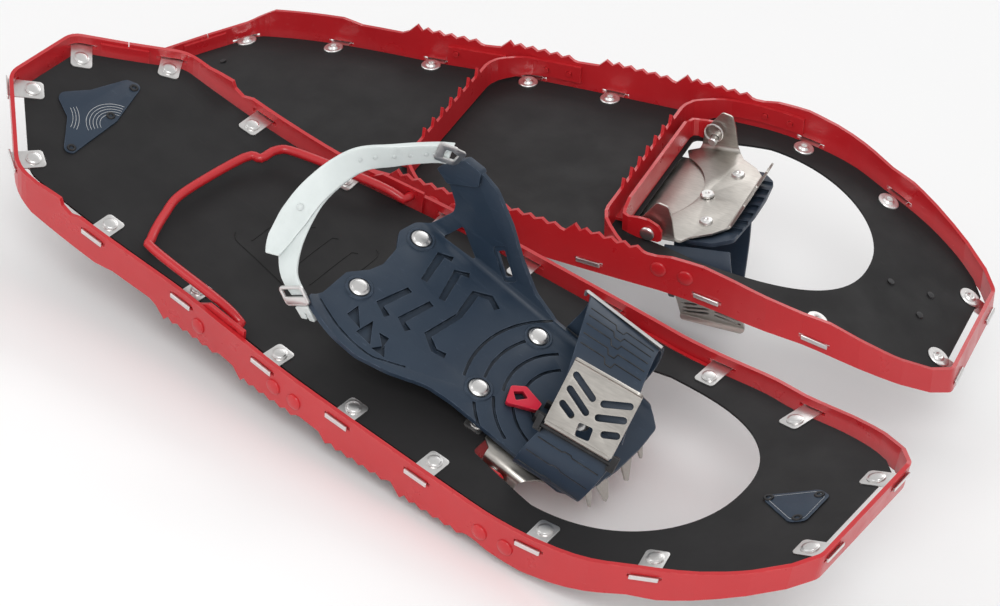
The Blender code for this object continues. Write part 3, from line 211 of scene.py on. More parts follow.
# Edge lines of the toe loop, back edge then front edge, from the near wall over the foot
NEAR_BACK = [(7, -53.5, 14.2), (8, -59, 22), (10, -57, 38), (12.5, -48, 51)]
NEAR_FRONT = [(50, -47, 16), (54, -55, 28), (57, -52, 46), (57, -44, 57)]
FAR_BACK = [(-33, 50.5, 14.2), (-29, 52, 34), (-24.5, 40, 62), (-21, 25, 80.5), (-18.5, 19, 84),
            (-10, 0, 86.5), (-1, -18, 80), (6, -31, 71), (12, -39, 60)]
FAR_FRONT = [(26, 50.5, 16), (28, 53, 36), (30, 42, 62), (32, 25.5, 81.5), (33, 19.5, 86),
             (38, 2, 89), (44, -14, 85), (50, -27, 75), (55, -36, 66)]
PLATE_CORNERS = [(11, -47.5, 53), (56, -43, 59.5), (47, -17.5, 92.5), (3.5, -22.5, 88.5)]
BUCKLE_STANDOFF = 3.2
BUCKLE_PIN_Y = -2.4
BUCKLE_LENGTH = 45.0
BUCKLE_WIDTH = 41.0
BUCKLE_LIP = 4.0
BUCKLE_LIP_FOLD = 70.0
RELIEF_RADIUS = 0.4
RELIEF_SINK = 0.05
RELIEF_STEP = 0.022
NEAR_RELIEF = (0.3, 0.55, 0.8)
FAR_RELIEF = (0.585, 0.625, 0.665, 0.705, 0.745)

# Heel strap from the near arm round the heel to the far arm: places, then ways across it
HEEL_STRAP = [(-154.5, -66, 17, 0.72, 0.08, 0.68), (-168, -62, 22, 0.76, 0.18, 0.62),
              (-180, -48, 33, 0.91, 0.40, 0.06), (-187, -25, 50, 0.98, 0.14, -0.17),
              (-183, 2, 63, 0.66, 0.10, -0.74), (-168.5, 23.5, 69, 0.15, 0.0, -0.98),
              (-153, 37.5, 76, 0.0, 0.0, -1.0), (-144, 41.5, 80.5, 0.0, 0.0, -1.0)]
STRAP_TAIL = [(-182, -63, 26, 0.88, 0.45, 0.12), (-185.5, -51, 35.5, 0.91, 0.40, 0.06),
              (-188, -27, 52.5, 0.98, 0.14, -0.17), (-182.5, 0.5, 65.8, 0.66, 0.10, -0.74),
              (-166.8, 21.8, 70.6, 0.15, 0.0, -0.98), (-151.3, 35.5, 77.6, 0.0, 0.0, -1.0),
              (-143, 38.9, 82, 0.0, 0.0, -1.0)]
HEEL_STRAP_WIDTHS = [(0, 11), (0.12, 12.5), (0.35, 15), (0.7, 15.5), (1, 17)]
STRAP_TAIL_WIDTHS = [(0, 8), (0.09, 15), (0.2, 17.5), (0.5, 16), (1, 17)]
HEEL_STRAP_SHEET = 2.4
STRAP_STEP = 3.0
STRAP_EDGE = 50.0
BUCKLE_ACROSS = (0.72, 0.08, 0.68)
BUCKLE_RUN = (-0.69, -0.10, 0.72)
BUCKLE_PLACE = (-156.0, -67.5, 17.5)
STUD_SHARE = 0.24
HOOK_PLACE = (-143, 36.8, 83.2)
HOOK_TURN = 26.0
HOOK_BEND = 35.0
BUMP_SHARES = (0.60, 0.67, 0.74, 0.81, 0.88, 0.94)

# Rest positions of the two shoes: place in mm, turns in degrees about X, Y, Z
PLACES = {"right": (107.292, -125.008, 56.873), "left": (46.125, 106.872, 98.558)}
TURNS = {"right": (14.5965, 4.2841, 0.0), "left": (11.6586, -7.4013, 9.8424)}
PITCHES = {"right": 12.2, "left": 5.0}
SIDES = ("right", "left")
SHOE_FRAME_BODIES = ("frame", "lifter")

# Camera and lights
CAMERA_PLACE = (0.746459, -1.380612, 0.873197)
CAMERA_TURN = (60.9009, -11.616, 34.3239)
CAMERA_LENS = 97.2
LIGHT_TARGET = Vector((0, 0, 0.1))
LIGHTS = [("key", (0.9, -1.6, 1.5), (1.0, 1.0), 20.0),
          ("fill", (-1.6, -1.4, 1.2), (1.2, 0.9), 6.0),
          ("back", (-0.4, 1.9, 1.8), (2.0, 0.8), 12.0)]
SKY_STRENGTH = 0.66
FLOOR_HALF = 9.0

# Finishes: a steel's light and dark colours, roughness, bump and whether it is brushed; a
# plastic's two colours, edge colour, roughness and coat; and the shader level of dull ones
STEELS = {
    "bright_steel": ((0.80, 0.79, 0.78), (0.70, 0.69, 0.68), 0.34, 0.03, False),
    "washer_steel": ((0.86, 0.85, 0.84), (0.74, 0.73, 0.72), 0.38, 0.04, False),
    "brushed_steel": ((0.56, 0.53, 0.49), (0.42, 0.40, 0.37), 0.36, 0.06, True),
}
PLASTICS = {
    "slate_plastic": ((0.017, 0.030, 0.052), (0.024, 0.040, 0.064), (0.10, 0.13, 0.18), 0.44, 0),
    # The black plastic colours the real black parts, and is also painted shade on the toe straps'
    # relief lines
    "black_plastic": ((0.012, 0.012, 0.013), (0.020, 0.020, 0.022), (0.08, 0.08, 0.08), 0.46, 0),
    "pale_ink": ((0.50, 0.52, 0.54), (0.58, 0.60, 0.62), (0.7, 0.7, 0.7), 0.5, 0),
    # The groove colour is painted shade, darker than the cloth, for the pressed lines on the deck
    "deck_groove_shade": ((0.006, 0.006, 0.006), (0.009, 0.009, 0.009), (0.02, 0.02, 0.02), 0.6, 0),
    "lever_red": ((0.60, 0.012, 0.04), (0.66, 0.02, 0.05), (0.8, 0.2, 0.2), 0.34, 0.2),
}
DULL = 0.36


# ---- plane curves

def spline_through(points, step):
    """A smooth Catmull-Rom line through the points, sampled about every step."""
    ends = [points[0]] + list(points) + [points[-1]]
    line = []
    for before, start, end, after in zip(ends, ends[1:], ends[2:], ends[3:]):
        count = max(1, round(math.dist(start, end) / step))
        for index in range(count):
            t = index / count
            place = []
            for p0, p1, p2, p3 in zip(before, start, end, after):
                place.append(0.5 * (2 * p1 + (p2 - p0) * t
                                    + (2 * p0 - 5 * p1 + 4 * p2 - p3) * t * t
                                    + (3 * p1 - p0 - 3 * p2 + p3) * t ** 3))
            line.append(tuple(place))
    line.append(tuple(points[-1]))
    return line


def rounded_corner(before, corner, after, radius, count=4):
    """Points of the arc that rounds a corner."""
    here = Vector(corner)
    back = (Vector(before) - here).normalized()
    on = (Vector(after) - here).normalized()
    half_angle = back.angle(on) / 2
    reach = radius / math.tan(half_angle)
    middle = here + (back + on).normalized() * radius / math.sin(half_angle)
    start = here + back * reach - middle
    end = here + on * reach - middle
    points = []
    for index in range(count + 1):
        arm = start.lerp(end, index / count).normalized() * radius
        points.append(tuple(middle + arm))
    return points


def rounded_outline(corners, count=6):
    """A closed outline from corners (x, y, radius)."""
    points = []
    total = len(corners)
    for index, (x, y, radius) in enumerate(corners):
        before = corners[index - 1][:2]
        after = corners[(index + 1) % total][:2]
        if radius:
            points += rounded_corner(before, (x, y), after, radius, count)
        else:
            points.append((x, y))
    return points


def arc(centre, radius, start, end, count=16):
    """Points on an arc between two angles in degrees."""
    points = []
    for index in range(count + 1):
        angle = math.radians(start + (end - start) * index / count)
        points.append((centre[0] + radius * math.cos(angle), centre[1] + radius * math.sin(angle)))
    return points


def circle(radius, count, centre=(0.0, 0.0)):
    return arc(centre, radius, 0, 360, count)[:-1]


def stroke(points, width):
    """The outline of a line drawn with a flat pen of that width."""
    left, right = [], []
    last = len(points) - 1
    for index, point in enumerate(points):
        before = Vector(points[max(index - 1, 0)])
        after = Vector(points[min(index + 1, last)])
        here = Vector(point)
        way = (after - before).normalized()
        across = Vector((-way.y, way.x)) * width / 2
        if 0 < index < last:
            turn = (here - before).normalized().angle((after - here).normalized(), 0.0)
            across /= max(0.5, math.cos(turn / 2))
        left.append(tuple(here + across))
        right.append(tuple(here - across))
    return left + right[::-1]


def interpolate(x, table):
    """Straight-line look-up in a table of (x, value) with rising x."""
    if x <= table[0][0]:
        return table[0][1]
    for (x0, y0), (x1, y1) in zip(table, table[1:]):
        if x <= x1:
            return y0 + (y1 - y0) * (x - x0) / (x1 - x0)
    return table[-1][1]


# ---- mesh tools

def at(x, y, z=0.0):
    return Matrix.Translation((x, y, z))


def turn_about(axis, degrees):
    return Matrix.Rotation(math.radians(degrees), 4, axis)


def facing(x, y, z, direction):
    """A place whose X axis points along a level direction."""
    return at(x, y, z) @ Matrix.Rotation(math.atan2(direction.y, direction.x), 4, "Z")


def take_bmesh(thing, merge=WELD):
    """The finished mesh of a temporary object, welded, in its own frame."""
    bpy.context.view_layer.update()
    graph = bpy.context.evaluated_depsgraph_get()
    mesh = bpy.data.meshes.new_from_object(thing.evaluated_get(graph))
    bm = bmesh.new()
    bm.from_mesh(mesh)
    bmesh.ops.remove_doubles(bm, verts=bm.verts, dist=merge)
    bmesh.ops.recalc_face_normals(bm, faces=bm.faces)
    bpy.data.meshes.remove(mesh)
    bpy.data.objects.remove(thing, do_unlink=True)
    return bm


def linked(name, data):
    """A new object in the scene."""
    thing = bpy.data.objects.new(name, data)
    bpy.context.scene.collection.objects.link(thing)
    return thing


def merge_flat_faces(bm):
    """Joins neighbouring faces that lie in one plane."""
    bmesh.ops.dissolve_limit(bm, angle_limit=FLAT_ANGLE, verts=bm.verts, edges=bm.edges)
    return bm


def sheet(outline, thickness, holes=(), z=0.0):
    """A flat plate with holes, its middle at height z."""
    curve = bpy.data.curves.new("outline", "CURVE")
    curve.dimensions = "2D"
    curve.fill_mode = "BOTH"
    curve.extrude = thickness / 2
    for points in [outline, *holes]:
        spline = curve.splines.new("POLY")
        spline.points.add(len(points) - 1)
        for point, (x, y) in zip(spline.points, points):
            point.co = (x, y, 0.0, 1.0)
        spline.use_cyclic_u = True
    plate = merge_flat_faces(take_bmesh(linked("outline", curve)))
    return shifted(plate, (0, 0, z))


def tube(points, radius, resolution=3, closed=False):
    """A round wire along the points."""
    curve = bpy.data.curves.new("wire", "CURVE")
    curve.dimensions = "3D"
    curve.bevel_depth = radius
    curve.bevel_resolution = resolution
    curve.use_fill_caps = not closed
    spline = curve.splines.new("POLY")
    spline.points.add(len(points) - 1)
    for point, place in zip(spline.points, points):
        point.co = (*place, 1.0)
    spline.use_cyclic_u = closed
    return take_bmesh(linked("wire", curve))


def turned(profile, steps=28):
    """A solid of revolution about Z from (radius, z) points, top to bottom."""
    mesh = bpy.data.meshes.new("profile")
    points = [(radius, 0.0, z) for radius, z in profile]
    edges = [(index, index + 1) for index in range(len(points) - 1)]
    mesh.from_pydata(points, edges, [])
    thing = linked("profile", mesh)
    screw = thing.modifiers.new("screw", "SCREW")
    screw.steps = steps
    screw.render_steps = steps
    screw.use_merge_vertices = True
    screw.merge_threshold = 0.0001
    return take_bmesh(thing)


def band(rows, thickness):
    """A closed solid from an open strip of point rows, thickened both ways."""
    mesh = bpy.data.meshes.new("band")
    points = [place for row in rows for place in row]
    width = len(rows[0])
    faces = []
    for row in range(len(rows) - 1):
        for column in range(width - 1):
            first = row * width + column
            faces.append((first, first + 1, first + width + 1, first + width))
    mesh.from_pydata(points, [], faces)
    thing = linked("band", mesh)
    solidify = thing.modifiers.new("sheet", "SOLIDIFY")
    solidify.thickness = thickness
    solidify.offset = 0.0
    solidify.use_even_offset = True
    return take_bmesh(thing)


def cut_at(bm, places, normal):
    """Adds edge loops on planes across the mesh, so that it can bend there."""
    for place in places:
        geometry = bm.verts[:] + bm.edges[:] + bm.faces[:]
        bmesh.ops.bisect_plane(bm, geom=geometry, plane_co=place, plane_no=normal,
                               dist=CUT_DISTANCE)


def fold(bm, start, along, away, degrees, radius, parts=8):
    """Bends the sheet beyond a line: start, its direction, and the way across it."""
    start, along, away = Vector(start), Vector(along), Vector(away)
    up = away.cross(along) if degrees > 0 else along.cross(away)
    turn = math.radians(abs(degrees))
    length = radius * turn
    cut_at(bm, [start + away * length * part / parts for part in range(parts + 1)], away)
    for vertex in bm.verts:
        offset = vertex.co - start
        reach = offset.dot(away)
        if reach < FOLD_START:
            continue
        height = offset.dot(up)
        bent = min(reach / radius, turn)
        rest = reach - bent * radius
        across = (radius - height) * math.sin(bent) + rest * math.cos(bent)
        rise = radius - (radius - height) * math.cos(bent) + rest * math.sin(bent)
        vertex.co += away * (across - reach) + up * (rise - height)


def moved(bm, matrix):
    bmesh.ops.transform(bm, matrix=matrix, verts=bm.verts)
    return bm


def placed(bm, matrix):
    """A moved copy of a mesh."""
    return moved(bm.copy(), matrix)


def box(size, centre):
    bm = bmesh.new()
    bmesh.ops.create_cube(bm, size=1.0)
    return moved(bm, at(*centre) @ Matrix.Diagonal((*size, 1)))


def shifted(bm, way):
    bmesh.ops.translate(bm, vec=way, verts=bm.verts)
    return bm


def softened(bm, width, segments=2, angle=35.0):
    """Rounds the sharp edges of a closed mesh."""
    limit = math.radians(angle)
    edges = [edge for edge in bm.edges if edge.is_manifold and edge.calc_face_angle(0.0) > limit]
    bmesh.ops.bevel(bm, geom=edges, offset=width, segments=segments, profile=0.6,
                    affect="EDGES", clamp_overlap=True)
    return bm


def join(pieces):
    """Puts several solids in one mesh, as separate shells."""
    whole = bmesh.new()
    for piece in pieces:
        mesh = bpy.data.meshes.new("piece")
        piece.to_mesh(mesh)
        piece.free()
        whole.from_mesh(mesh)
        bpy.data.meshes.remove(mesh)
    return whole


def repeated(bm, matrices):
    return join([placed(bm, matrix) for matrix in matrices])


def object_from(bm, name):
    mesh = bpy.data.meshes.new(name)
    bm.to_mesh(mesh)
    bm.free()
    return linked(name, mesh)


def combined(bm, others, operation):
    """The Boolean of a mesh with others, as a mesh."""
    thing = object_from(bm, "work")
    tools = []
    for other in others:
        tool = object_from(other, "tool")
        modifier = thing.modifiers.new("boolean", "BOOLEAN")
        modifier.operation = operation
        modifier.object = tool
        tools.append(tool)
    result = merge_flat_faces(take_bmesh(thing, merge=WELD_AFTER_CUT))
    for tool in tools:
        bpy.data.objects.remove(tool, do_unlink=True)
    return result


def across_y(bm):
    """Turns a solid made along Z so that it lies along Y."""
    return moved(bm, turn_about("X", -90))


def pin_hole():
    """A solid that cuts the bore of the pivot pins."""
    radius = PIN_RADIUS + GAP
    return across_y(turned([(0, THROUGH), (radius, THROUGH), (radius, -THROUGH), (0, -THROUGH)]))


# ---- putting pieces on the shoes

def shoe_matrix(side):
    """From the shoe frame in millimetres to the world in metres."""
    turn = Euler([math.radians(angle) for angle in TURNS[side]])
    matrix = at(*PLACES[side]) @ turn.to_matrix().to_4x4()
    if side == "left":
        matrix = matrix @ turn_about("X", 180) @ Matrix.Diagonal((1, -1, 1, 1))
    return Matrix.Scale(MM, 4) @ matrix


def body_matrix(side, body):
    """The frame that a body's pieces are shaped in: the shoe's or the binding's."""
    if body in SHOE_FRAME_BODIES:
        return shoe_matrix(side)
    return shoe_matrix(side) @ at(*PIVOT) @ turn_about("Y", PITCHES[side])


def put(bm, name, finish, materials, body, replaces):
    """Puts a copy of the mesh on each shoe, riding on that shoe's body."""
    for side in SIDES:
        matrix = body_matrix(side, body)
        copy = placed(bm, matrix)
        if matrix.determinant() < 0:
            bmesh.ops.reverse_faces(copy, faces=copy.faces)
        thing = object_from(copy, f"{side}_{name}_look")
        thing.data.materials.append(materials[finish])
        thing.data.shade_smooth()
        thing.data.set_sharp_from_angle(angle=math.radians(SMOOTH_ANGLE))
        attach(thing, f"{side}_{body}_body")
        if replaces:
            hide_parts(*[f"{side}_{node}" for node in replaces])
    bm.free()


def dress(frame, nodes, finish, materials, width):
    """Finishes CAD nodes that stay in view: a material and small rounded edges."""
    for name in [f"{side}_{node}" for side in SIDES for node in nodes]:
        thing = frame["nodes"][name]
        thing.data.materials.clear()
        thing.data.materials.append(materials[finish])
        bevel = thing.modifiers.new("edges", "BEVEL")
        bevel.width = width
        bevel.segments = 2
        bevel.limit_method = "ANGLE"
        bevel.angle_limit = math.radians(BEVEL_ANGLE)


# ---- materials

def node(tree, kind, **inputs):
    """Adds a shader node, setting its named inputs."""
    made = tree.nodes.new(kind)
    for name, value in inputs.items():
        made.inputs[name.replace("_", " ")].default_value = value
    return made


def start_material(name, **inputs):
    """A new material, its node tree and its shader, with some of the shader's inputs set."""
    material = bpy.data.materials.new(name)
    material.use_nodes = True
    shader = material.node_tree.nodes["Principled BSDF"]
    for key, value in inputs.items():
        shader.inputs[key.replace("_", " ")].default_value = value
    return material, material.node_tree, shader


def object_place(tree, stretch=(1.0, 1.0, 1.0)):
    """Place on the object at rest in metres, stretched for directional grain."""
    place = node(tree, "ShaderNodeTexCoord")
    mapping = node(tree, "ShaderNodeMapping", Scale=stretch)
    tree.links.new(place.outputs["Object"], mapping.inputs["Vector"])
    return mapping.outputs["Vector"]


def noise(tree, place, scale, detail=4.0, roughness=0.55):
    made = node(tree, "ShaderNodeTexNoise", Scale=scale, Detail=detail, Roughness=roughness)
    tree.links.new(place, made.inputs["Vector"])
    return made.outputs["Fac"]


def spread(tree, value, low, high, start=0.3, end=0.7):
    """Maps a value between start and end onto low to high."""
    limits = {"From Min": start, "From Max": end, "To Min": low, "To Max": high}
    made = node(tree, "ShaderNodeMapRange", **limits)
    tree.links.new(value, made.inputs["Value"])
    return made.outputs["Result"]


def feed(tree, socket, value):
    """Links or sets an input."""
    if isinstance(value, bpy.types.NodeSocket):
        tree.links.new(value, socket)
    else:
        socket.default_value = (*value, 1.0) if isinstance(value, tuple) else value


def mixed(tree, factor, first, second):
    """A colour between two, each a colour or a socket."""
    made = node(tree, "ShaderNodeMix")
    made.data_type = "RGBA"
    for index, value in ((0, factor), (6, first), (7, second)):
        feed(tree, made.inputs[index], value)
    return made.outputs[2]


def arithmetic(tree, operation, first, second):
    made = node(tree, "ShaderNodeMath")
    made.operation = operation
    feed(tree, made.inputs[0], first)
    feed(tree, made.inputs[1], second)
    return made


def times(tree, first, second):
    return arithmetic(tree, "MULTIPLY", first, second).outputs[0]


def added(tree, first, second):
    made = arithmetic(tree, "ADD", first, second)
    made.use_clamp = True
    return made.outputs[0]


def worn_edges(tree, radius, place, scale):
    """About 1 on outer edges, broken up by noise, and 0 on open faces."""
    bevel = node(tree, "ShaderNodeBevel", Radius=radius)
    bevel.samples = 4
    geometry = tree.nodes.new("ShaderNodeNewGeometry")
    dot = tree.nodes.new("ShaderNodeVectorMath")
    dot.operation = "DOT_PRODUCT"
    tree.links.new(bevel.outputs["Normal"], dot.inputs[0])
    tree.links.new(geometry.outputs["Normal"], dot.inputs[1])
    edge = spread(tree, dot.outputs["Value"], 1.0, 0.0, 0.9, 0.99)
    broken = spread(tree, noise(tree, place, scale), 0.0, 1.0, 0.42, 0.62)
    return times(tree, edge, broken)


def finished(parts, colour, rough, height, strength, distance):
    """Links colour, roughness and bump to a material's shader."""
    material, tree, shader = parts
    made = node(tree, "ShaderNodeBump", Strength=strength, Distance=distance)
    tree.links.new(height, made.inputs["Height"])
    tree.links.new(made.outputs["Normal"], shader.inputs["Normal"])
    tree.links.new(colour, shader.inputs["Base Color"])
    feed(tree, shader.inputs["Roughness"], rough)
    return material


def paint():
    """Gloss red powder coat with orange peel, paler rubbed edges and fine scratches."""
    parts = start_material("red_paint", Coat_Weight=0.25, Coat_Roughness=0.16)
    tree = parts[1]
    place = object_place(tree)
    patches = spread(tree, noise(tree, place, 9.0), 0.0, 1.0)
    red = mixed(tree, patches, (0.48, 0.010, 0.016), (0.55, 0.016, 0.022))
    edge = worn_edges(tree, 0.0011, place, 130.0)
    grain = noise(tree, object_place(tree, (60, 900, 900)), 1.0)
    scratch = spread(tree, grain, 0.0, 0.15, 0.68, 0.74)
    worn = mixed(tree, times(tree, edge, 0.5), red, (0.74, 0.10, 0.10))
    colour = mixed(tree, scratch, worn, (0.74, 0.30, 0.27))
    rough = spread(tree, noise(tree, place, 45.0), 0.27, 0.43, 0.35, 0.65)
    return finished(parts, colour, rough, noise(tree, place, 620.0, 2.0), 0.12, 0.0004)


def weave(tree, place):
    """Threads both ways."""
    threads = []
    for direction in ("X", "Y"):
        wave = node(tree, "ShaderNodeTexWave", Scale=520.0, Distortion=0.6)
        wave.bands_direction = direction
        tree.links.new(place, wave.inputs["Vector"])
        threads.append(wave.outputs["Fac"])
    return added(tree, *threads)


def deck_cloth():
    """Black coated cloth: fine weave, cloudy sheen, faint scuffs."""
    parts = start_material("deck_cloth", Specular_IOR_Level=DULL)
    tree = parts[1]
    place = object_place(tree)
    clouds = spread(tree, noise(tree, place, 7.0, 6.0), 0.0, 1.0)
    black = mixed(tree, clouds, (0.0095, 0.009, 0.0097), (0.0125, 0.012, 0.0127))
    scuffs = noise(tree, object_place(tree, (14, 260, 260)), 1.0, 5.0, 0.7)
    scuffed = spread(tree, scuffs, 0.0, 0.12, 0.62, 0.74)
    colour = mixed(tree, scuffed, black, (0.06, 0.058, 0.06))
    rough = spread(tree, noise(tree, place, 30.0, 5.0), 0.60, 0.74, 0.35, 0.65)
    threads = times(tree, weave(tree, place), 0.35)
    height = added(tree, threads, times(tree, noise(tree, place, 160.0), 0.65))
    return finished(parts, colour, rough, height, 0.10, 0.0005)


def steel(name, light, dark, roughness, strength, brushed):
    """Bare steel with grain, smudges and brighter rubbed edges."""
    parts = start_material(name, Metallic=1.0)
    tree = parts[1]
    place = object_place(tree)
    stretch, scale = ((35, 900, 900), 1.0) if brushed else ((1.0, 1.0, 1.0), 300.0)
    lines = noise(tree, object_place(tree, stretch), scale, 5.0)
    tone = mixed(tree, spread(tree, lines, 0.0, 1.0, 0.2, 0.8), dark, light)
    edge = worn_edges(tree, 0.0006, place, 240.0)
    colour = mixed(tree, times(tree, edge, 0.35), tone, (0.86, 0.85, 0.83))
    smudge = noise(tree, place, 55.0, 5.0)
    rough = spread(tree, smudge, roughness - 0.04, roughness + 0.06, 0.35, 0.65)
    return finished(parts, colour, rough, lines, strength, 0.0003)


def plastic(name, colour, shade, edge_colour, roughness, coat):
    """Moulded plastic: fine pebble, cloudy colour, painted shade in its crevices, scuffed edges.
    """
    parts = start_material(name, Coat_Weight=coat, Specular_IOR_Level=DULL)
    tree = parts[1]
    place = object_place(tree)
    clouds = spread(tree, noise(tree, place, 14.0, 5.0), 0.0, 1.0)
    # Painted shade: the colour is darkened towards black where ambient occlusion finds crevices
    # and grooves, standing in for the shade that falls there
    occlusion_shade = node(tree, "ShaderNodeAmbientOcclusion", Distance=0.005)
    painted_shade_factor = spread(tree, occlusion_shade.outputs["AO"], 0.15, 1.0, 0.35, 0.95)
    base = mixed(tree, painted_shade_factor, (0, 0, 0), mixed(tree, clouds, colour, shade))
    edge = worn_edges(tree, 0.0009, place, 180.0)
    tinted = mixed(tree, times(tree, edge, 0.7), base, edge_colour)
    scuffs = noise(tree, object_place(tree, (40, 420, 420)), 1.0, 5.0, 0.7)
    worn = mixed(tree, spread(tree, scuffs, 0.0, 0.3, 0.62, 0.74), tinted, edge_colour)
    marks = noise(tree, place, 40.0, 5.0)
    rough = spread(tree, marks, roughness - 0.09, roughness + 0.12, 0.35, 0.65)
    return finished(parts, worn, rough, noise(tree, place, 900.0, 2.0), 0.12, 0.0003)


def rubber():
    """Pale, slightly see-through strap rubber with a frosted skin."""
    parts = start_material("pale_rubber", Subsurface_Weight=0.35, Subsurface_Scale=0.004,
                           Subsurface_Radius=(1.0, 1.0, 0.95))
    tree = parts[1]
    place = object_place(tree)
    clouds = spread(tree, noise(tree, place, 22.0, 5.0), 0.0, 1.0)
    tone = mixed(tree, clouds, (0.60, 0.65, 0.64), (0.72, 0.77, 0.76))
    dirt = spread(tree, noise(tree, place, 90.0, 6.0, 0.7), 0.0, 0.35, 0.58, 0.75)
    colour = mixed(tree, dirt, tone, (0.50, 0.54, 0.52))
    rough = spread(tree, noise(tree, place, 60.0), 0.34, 0.52, 0.35, 0.65)
    return finished(parts, colour, rough, noise(tree, place, 500.0, 3.0), 0.10, 0.0003)


def floor_finish():
    """Plain, nearly white studio paper."""
    parts = start_material("paper_floor")
    tree = parts[1]
    place = object_place(tree)
    clouds = spread(tree, noise(tree, place, 1.5), 0.0, 1.0)
    colour = mixed(tree, clouds, (0.955, 0.955, 0.955), (0.97, 0.97, 0.97))
    return finished(parts, colour, 0.85, noise(tree, place, 300.0), 0.02, 0.0005)


# ---- shape rules of the frame

def deck_height(x):
    """Height of the deck's middle surface, which rises at both ends."""
    if x < TAIL_RISE_START:
        span = TAIL_END_X - TAIL_RISE_START
        return MID_DECK_Z + TAIL_RISE * ((x - TAIL_RISE_START) / span) ** TAIL_RISE_POWER
    if x > TIP_RISE_START:
        span = TIP_RISE_END - TIP_RISE_START
        return MID_DECK_Z + TIP_RISE * ((x - TIP_RISE_START) / span) ** TIP_RISE_POWER
    return MID_DECK_Z


def lay_on_deck(bm):
    for vertex in bm.verts:
        vertex.co.z += deck_height(vertex.co.x)
    return bm


def side_outline(step=14.0):
    """The rail's outer face on the +Y side, from the tail's middle to the tip's."""
    end = (TAIL_END_X, TAIL_END_HALF)
    points = [(TAIL_END_X, 0.0)]
    points += rounded_corner((TAIL_END_X, 0), end, TAIL_CORNER, TAIL_END_RADIUS)
    points += rounded_corner(end, TAIL_CORNER, SIDE[0], TAIL_CORNER_RADIUS)
    points += spline_through(SIDE, step)
    corner = (TIP_END_X, TIP_END_HALF)
    points += rounded_corner(SIDE[-1], corner, (TIP_END_X, 0), TIP_CORNER_RADIUS)
    points.append((TIP_END_X, 0.0))
    return points


def offset_inward(points, distance):
    """Moves an open line, which runs from the tail to the tip on +Y, inwards."""
    moved = []
    last = len(points) - 1
    for index, (x, y) in enumerate(points):
        before = Vector(points[max(index - 1, 0)])
        after = Vector(points[min(index + 1, last)])
        way = (after - before).normalized()
        if index == 0:
            way = Vector((0, 1))
        if index == last:
            way = Vector((0, -1))
        moved.append((x + way.y * distance, y - way.x * distance))
    return moved


def both_sides(points):
    """A closed loop from a line on +Y that starts and ends on the middle line."""
    return points + [(x, -y) for x, y in reversed(points[1:-1])]


def half_width(x):
    """Outer half-width of the rail at x, on the sides."""
    table = [(TAIL_END_X, TAIL_END_HALF), TAIL_CORNER] + SIDE + [(TIP_END_X, TIP_END_HALF)]
    dense = spline_through(table[1:-1], 6.0)
    return interpolate(x, [table[0]] + dense + [table[-1]])


def outward(x, half, side):
    """Direction across the rail at a place on it, pointing out of the shoe."""
    line = side_outline(6.0)
    nearest = min(range(1, len(line) - 1), key=lambda index: math.dist(line[index], (x, half)))
    way = (Vector(line[nearest + 1]) - Vector(line[nearest - 1])).normalized()
    return Vector((-way.y, side * way.x, 0.0))


def rail_point_beyond(x, half, side):
    """Where the rail's outer face is, straight out from a clip rivet."""
    direction = Vector((1, 0, 0)) if x > SIDE[-2][0] else outward(x, half + 2 * CLIP_HALF, side)
    here = Vector((x, side * half, 0))
    offsets = [Vector((px, side * py, 0)) - here for px, py in side_outline(4.0)
               if abs(px - x) < CLIP_REACH_LIMIT]
    best = min(offsets, key=lambda way: (way - direction * way.dot(direction)).length)
    return direction, best.dot(direction)


def clip_places():
    """Matrix and reach to the rail of each side clip."""
    places = []
    for x, half in CLIP_RIVETS:
        for side in (1, -1):
            direction, reach = rail_point_beyond(x, half, side)
            places.append((facing(x, side * half, 0, direction), reach))
    return places


def crossbar_clip_places():
    return [(at(0, side * CROSSBAR_CLIP_HALF), CROSSBAR_CLIP_REACH) for side in (1, -1)]


def rivet_places():
    return [matrix for matrix, _ in clip_places() + crossbar_clip_places()]


def rail_rivet_places():
    """Matrices of the rivets through the rail, +X out of the rail."""
    places = []
    for x in BAR_RIVETS:
        half = half_width(x)
        z = deck_height(x) + BAR_RIVET_H
        places += [facing(x, side * half, z, outward(x, half, side)) for side in (1, -1)]
    return places


def dome(radius, height, base, rise=0.5, count=6):
    """Profile points of a low domed head, from its crown out and down to its base."""
    points = []
    for index in range(count + 1):
        angle = math.pi / 2 * index / count
        points.append((radius * math.sin(angle), base + rise + (height - rise) * math.cos(angle)))
    return points + [(radius, base)]


# ---- deck, clips and rivets

def toe_hole():
    """Outline of the opening that the toe swings through."""
    half = rounded_corner((TOE_HOLE_BACK, 0), (TOE_HOLE_BACK, TOE_HOLE_BACK_HALF), (40, 71), 5.0)
    span = TOE_HOLE_FRONT - TOE_HOLE_MIDDLE
    for index in range(28):
        t = math.sin(math.pi / 2 * index / 28)
        y = TOE_HOLE_HALF * (1 - t ** TOE_HOLE_POWER) ** (1 / TOE_HOLE_POWER)
        half.append((TOE_HOLE_MIDDLE + span * t, y))
    return half + [(TOE_HOLE_FRONT, 0.0)] + [(x, -y) for x, y in reversed(half)]


def deck_sheet():
    outline = both_sides(offset_inward(side_outline(8.0), DECK_INSET))
    plate = sheet(outline, DECK_SHEET, [toe_hole()])
    stations = range(round(TAIL_END_X), round(TIP_END_X), DECK_STEP)
    cut_at(plate, [Vector((x, 0, 0)) for x in stations], Vector((1, 0, 0)))
    return lay_on_deck(plate)


def deck_grooves():
    """Pressed lines behind the heel, as shallow beads just proud of the cloth, coloured darker
    than the cloth as painted shade of the pressed grooves.
    """
    pieces = []
    for points in DECK_GROOVES:
        line = [(x, y, DECK_SHEET / 2) for x, y in spline_through(points, 3.0)]
        pieces.append(tube(line, 0.45, 1))
    return lay_on_deck(join(pieces))


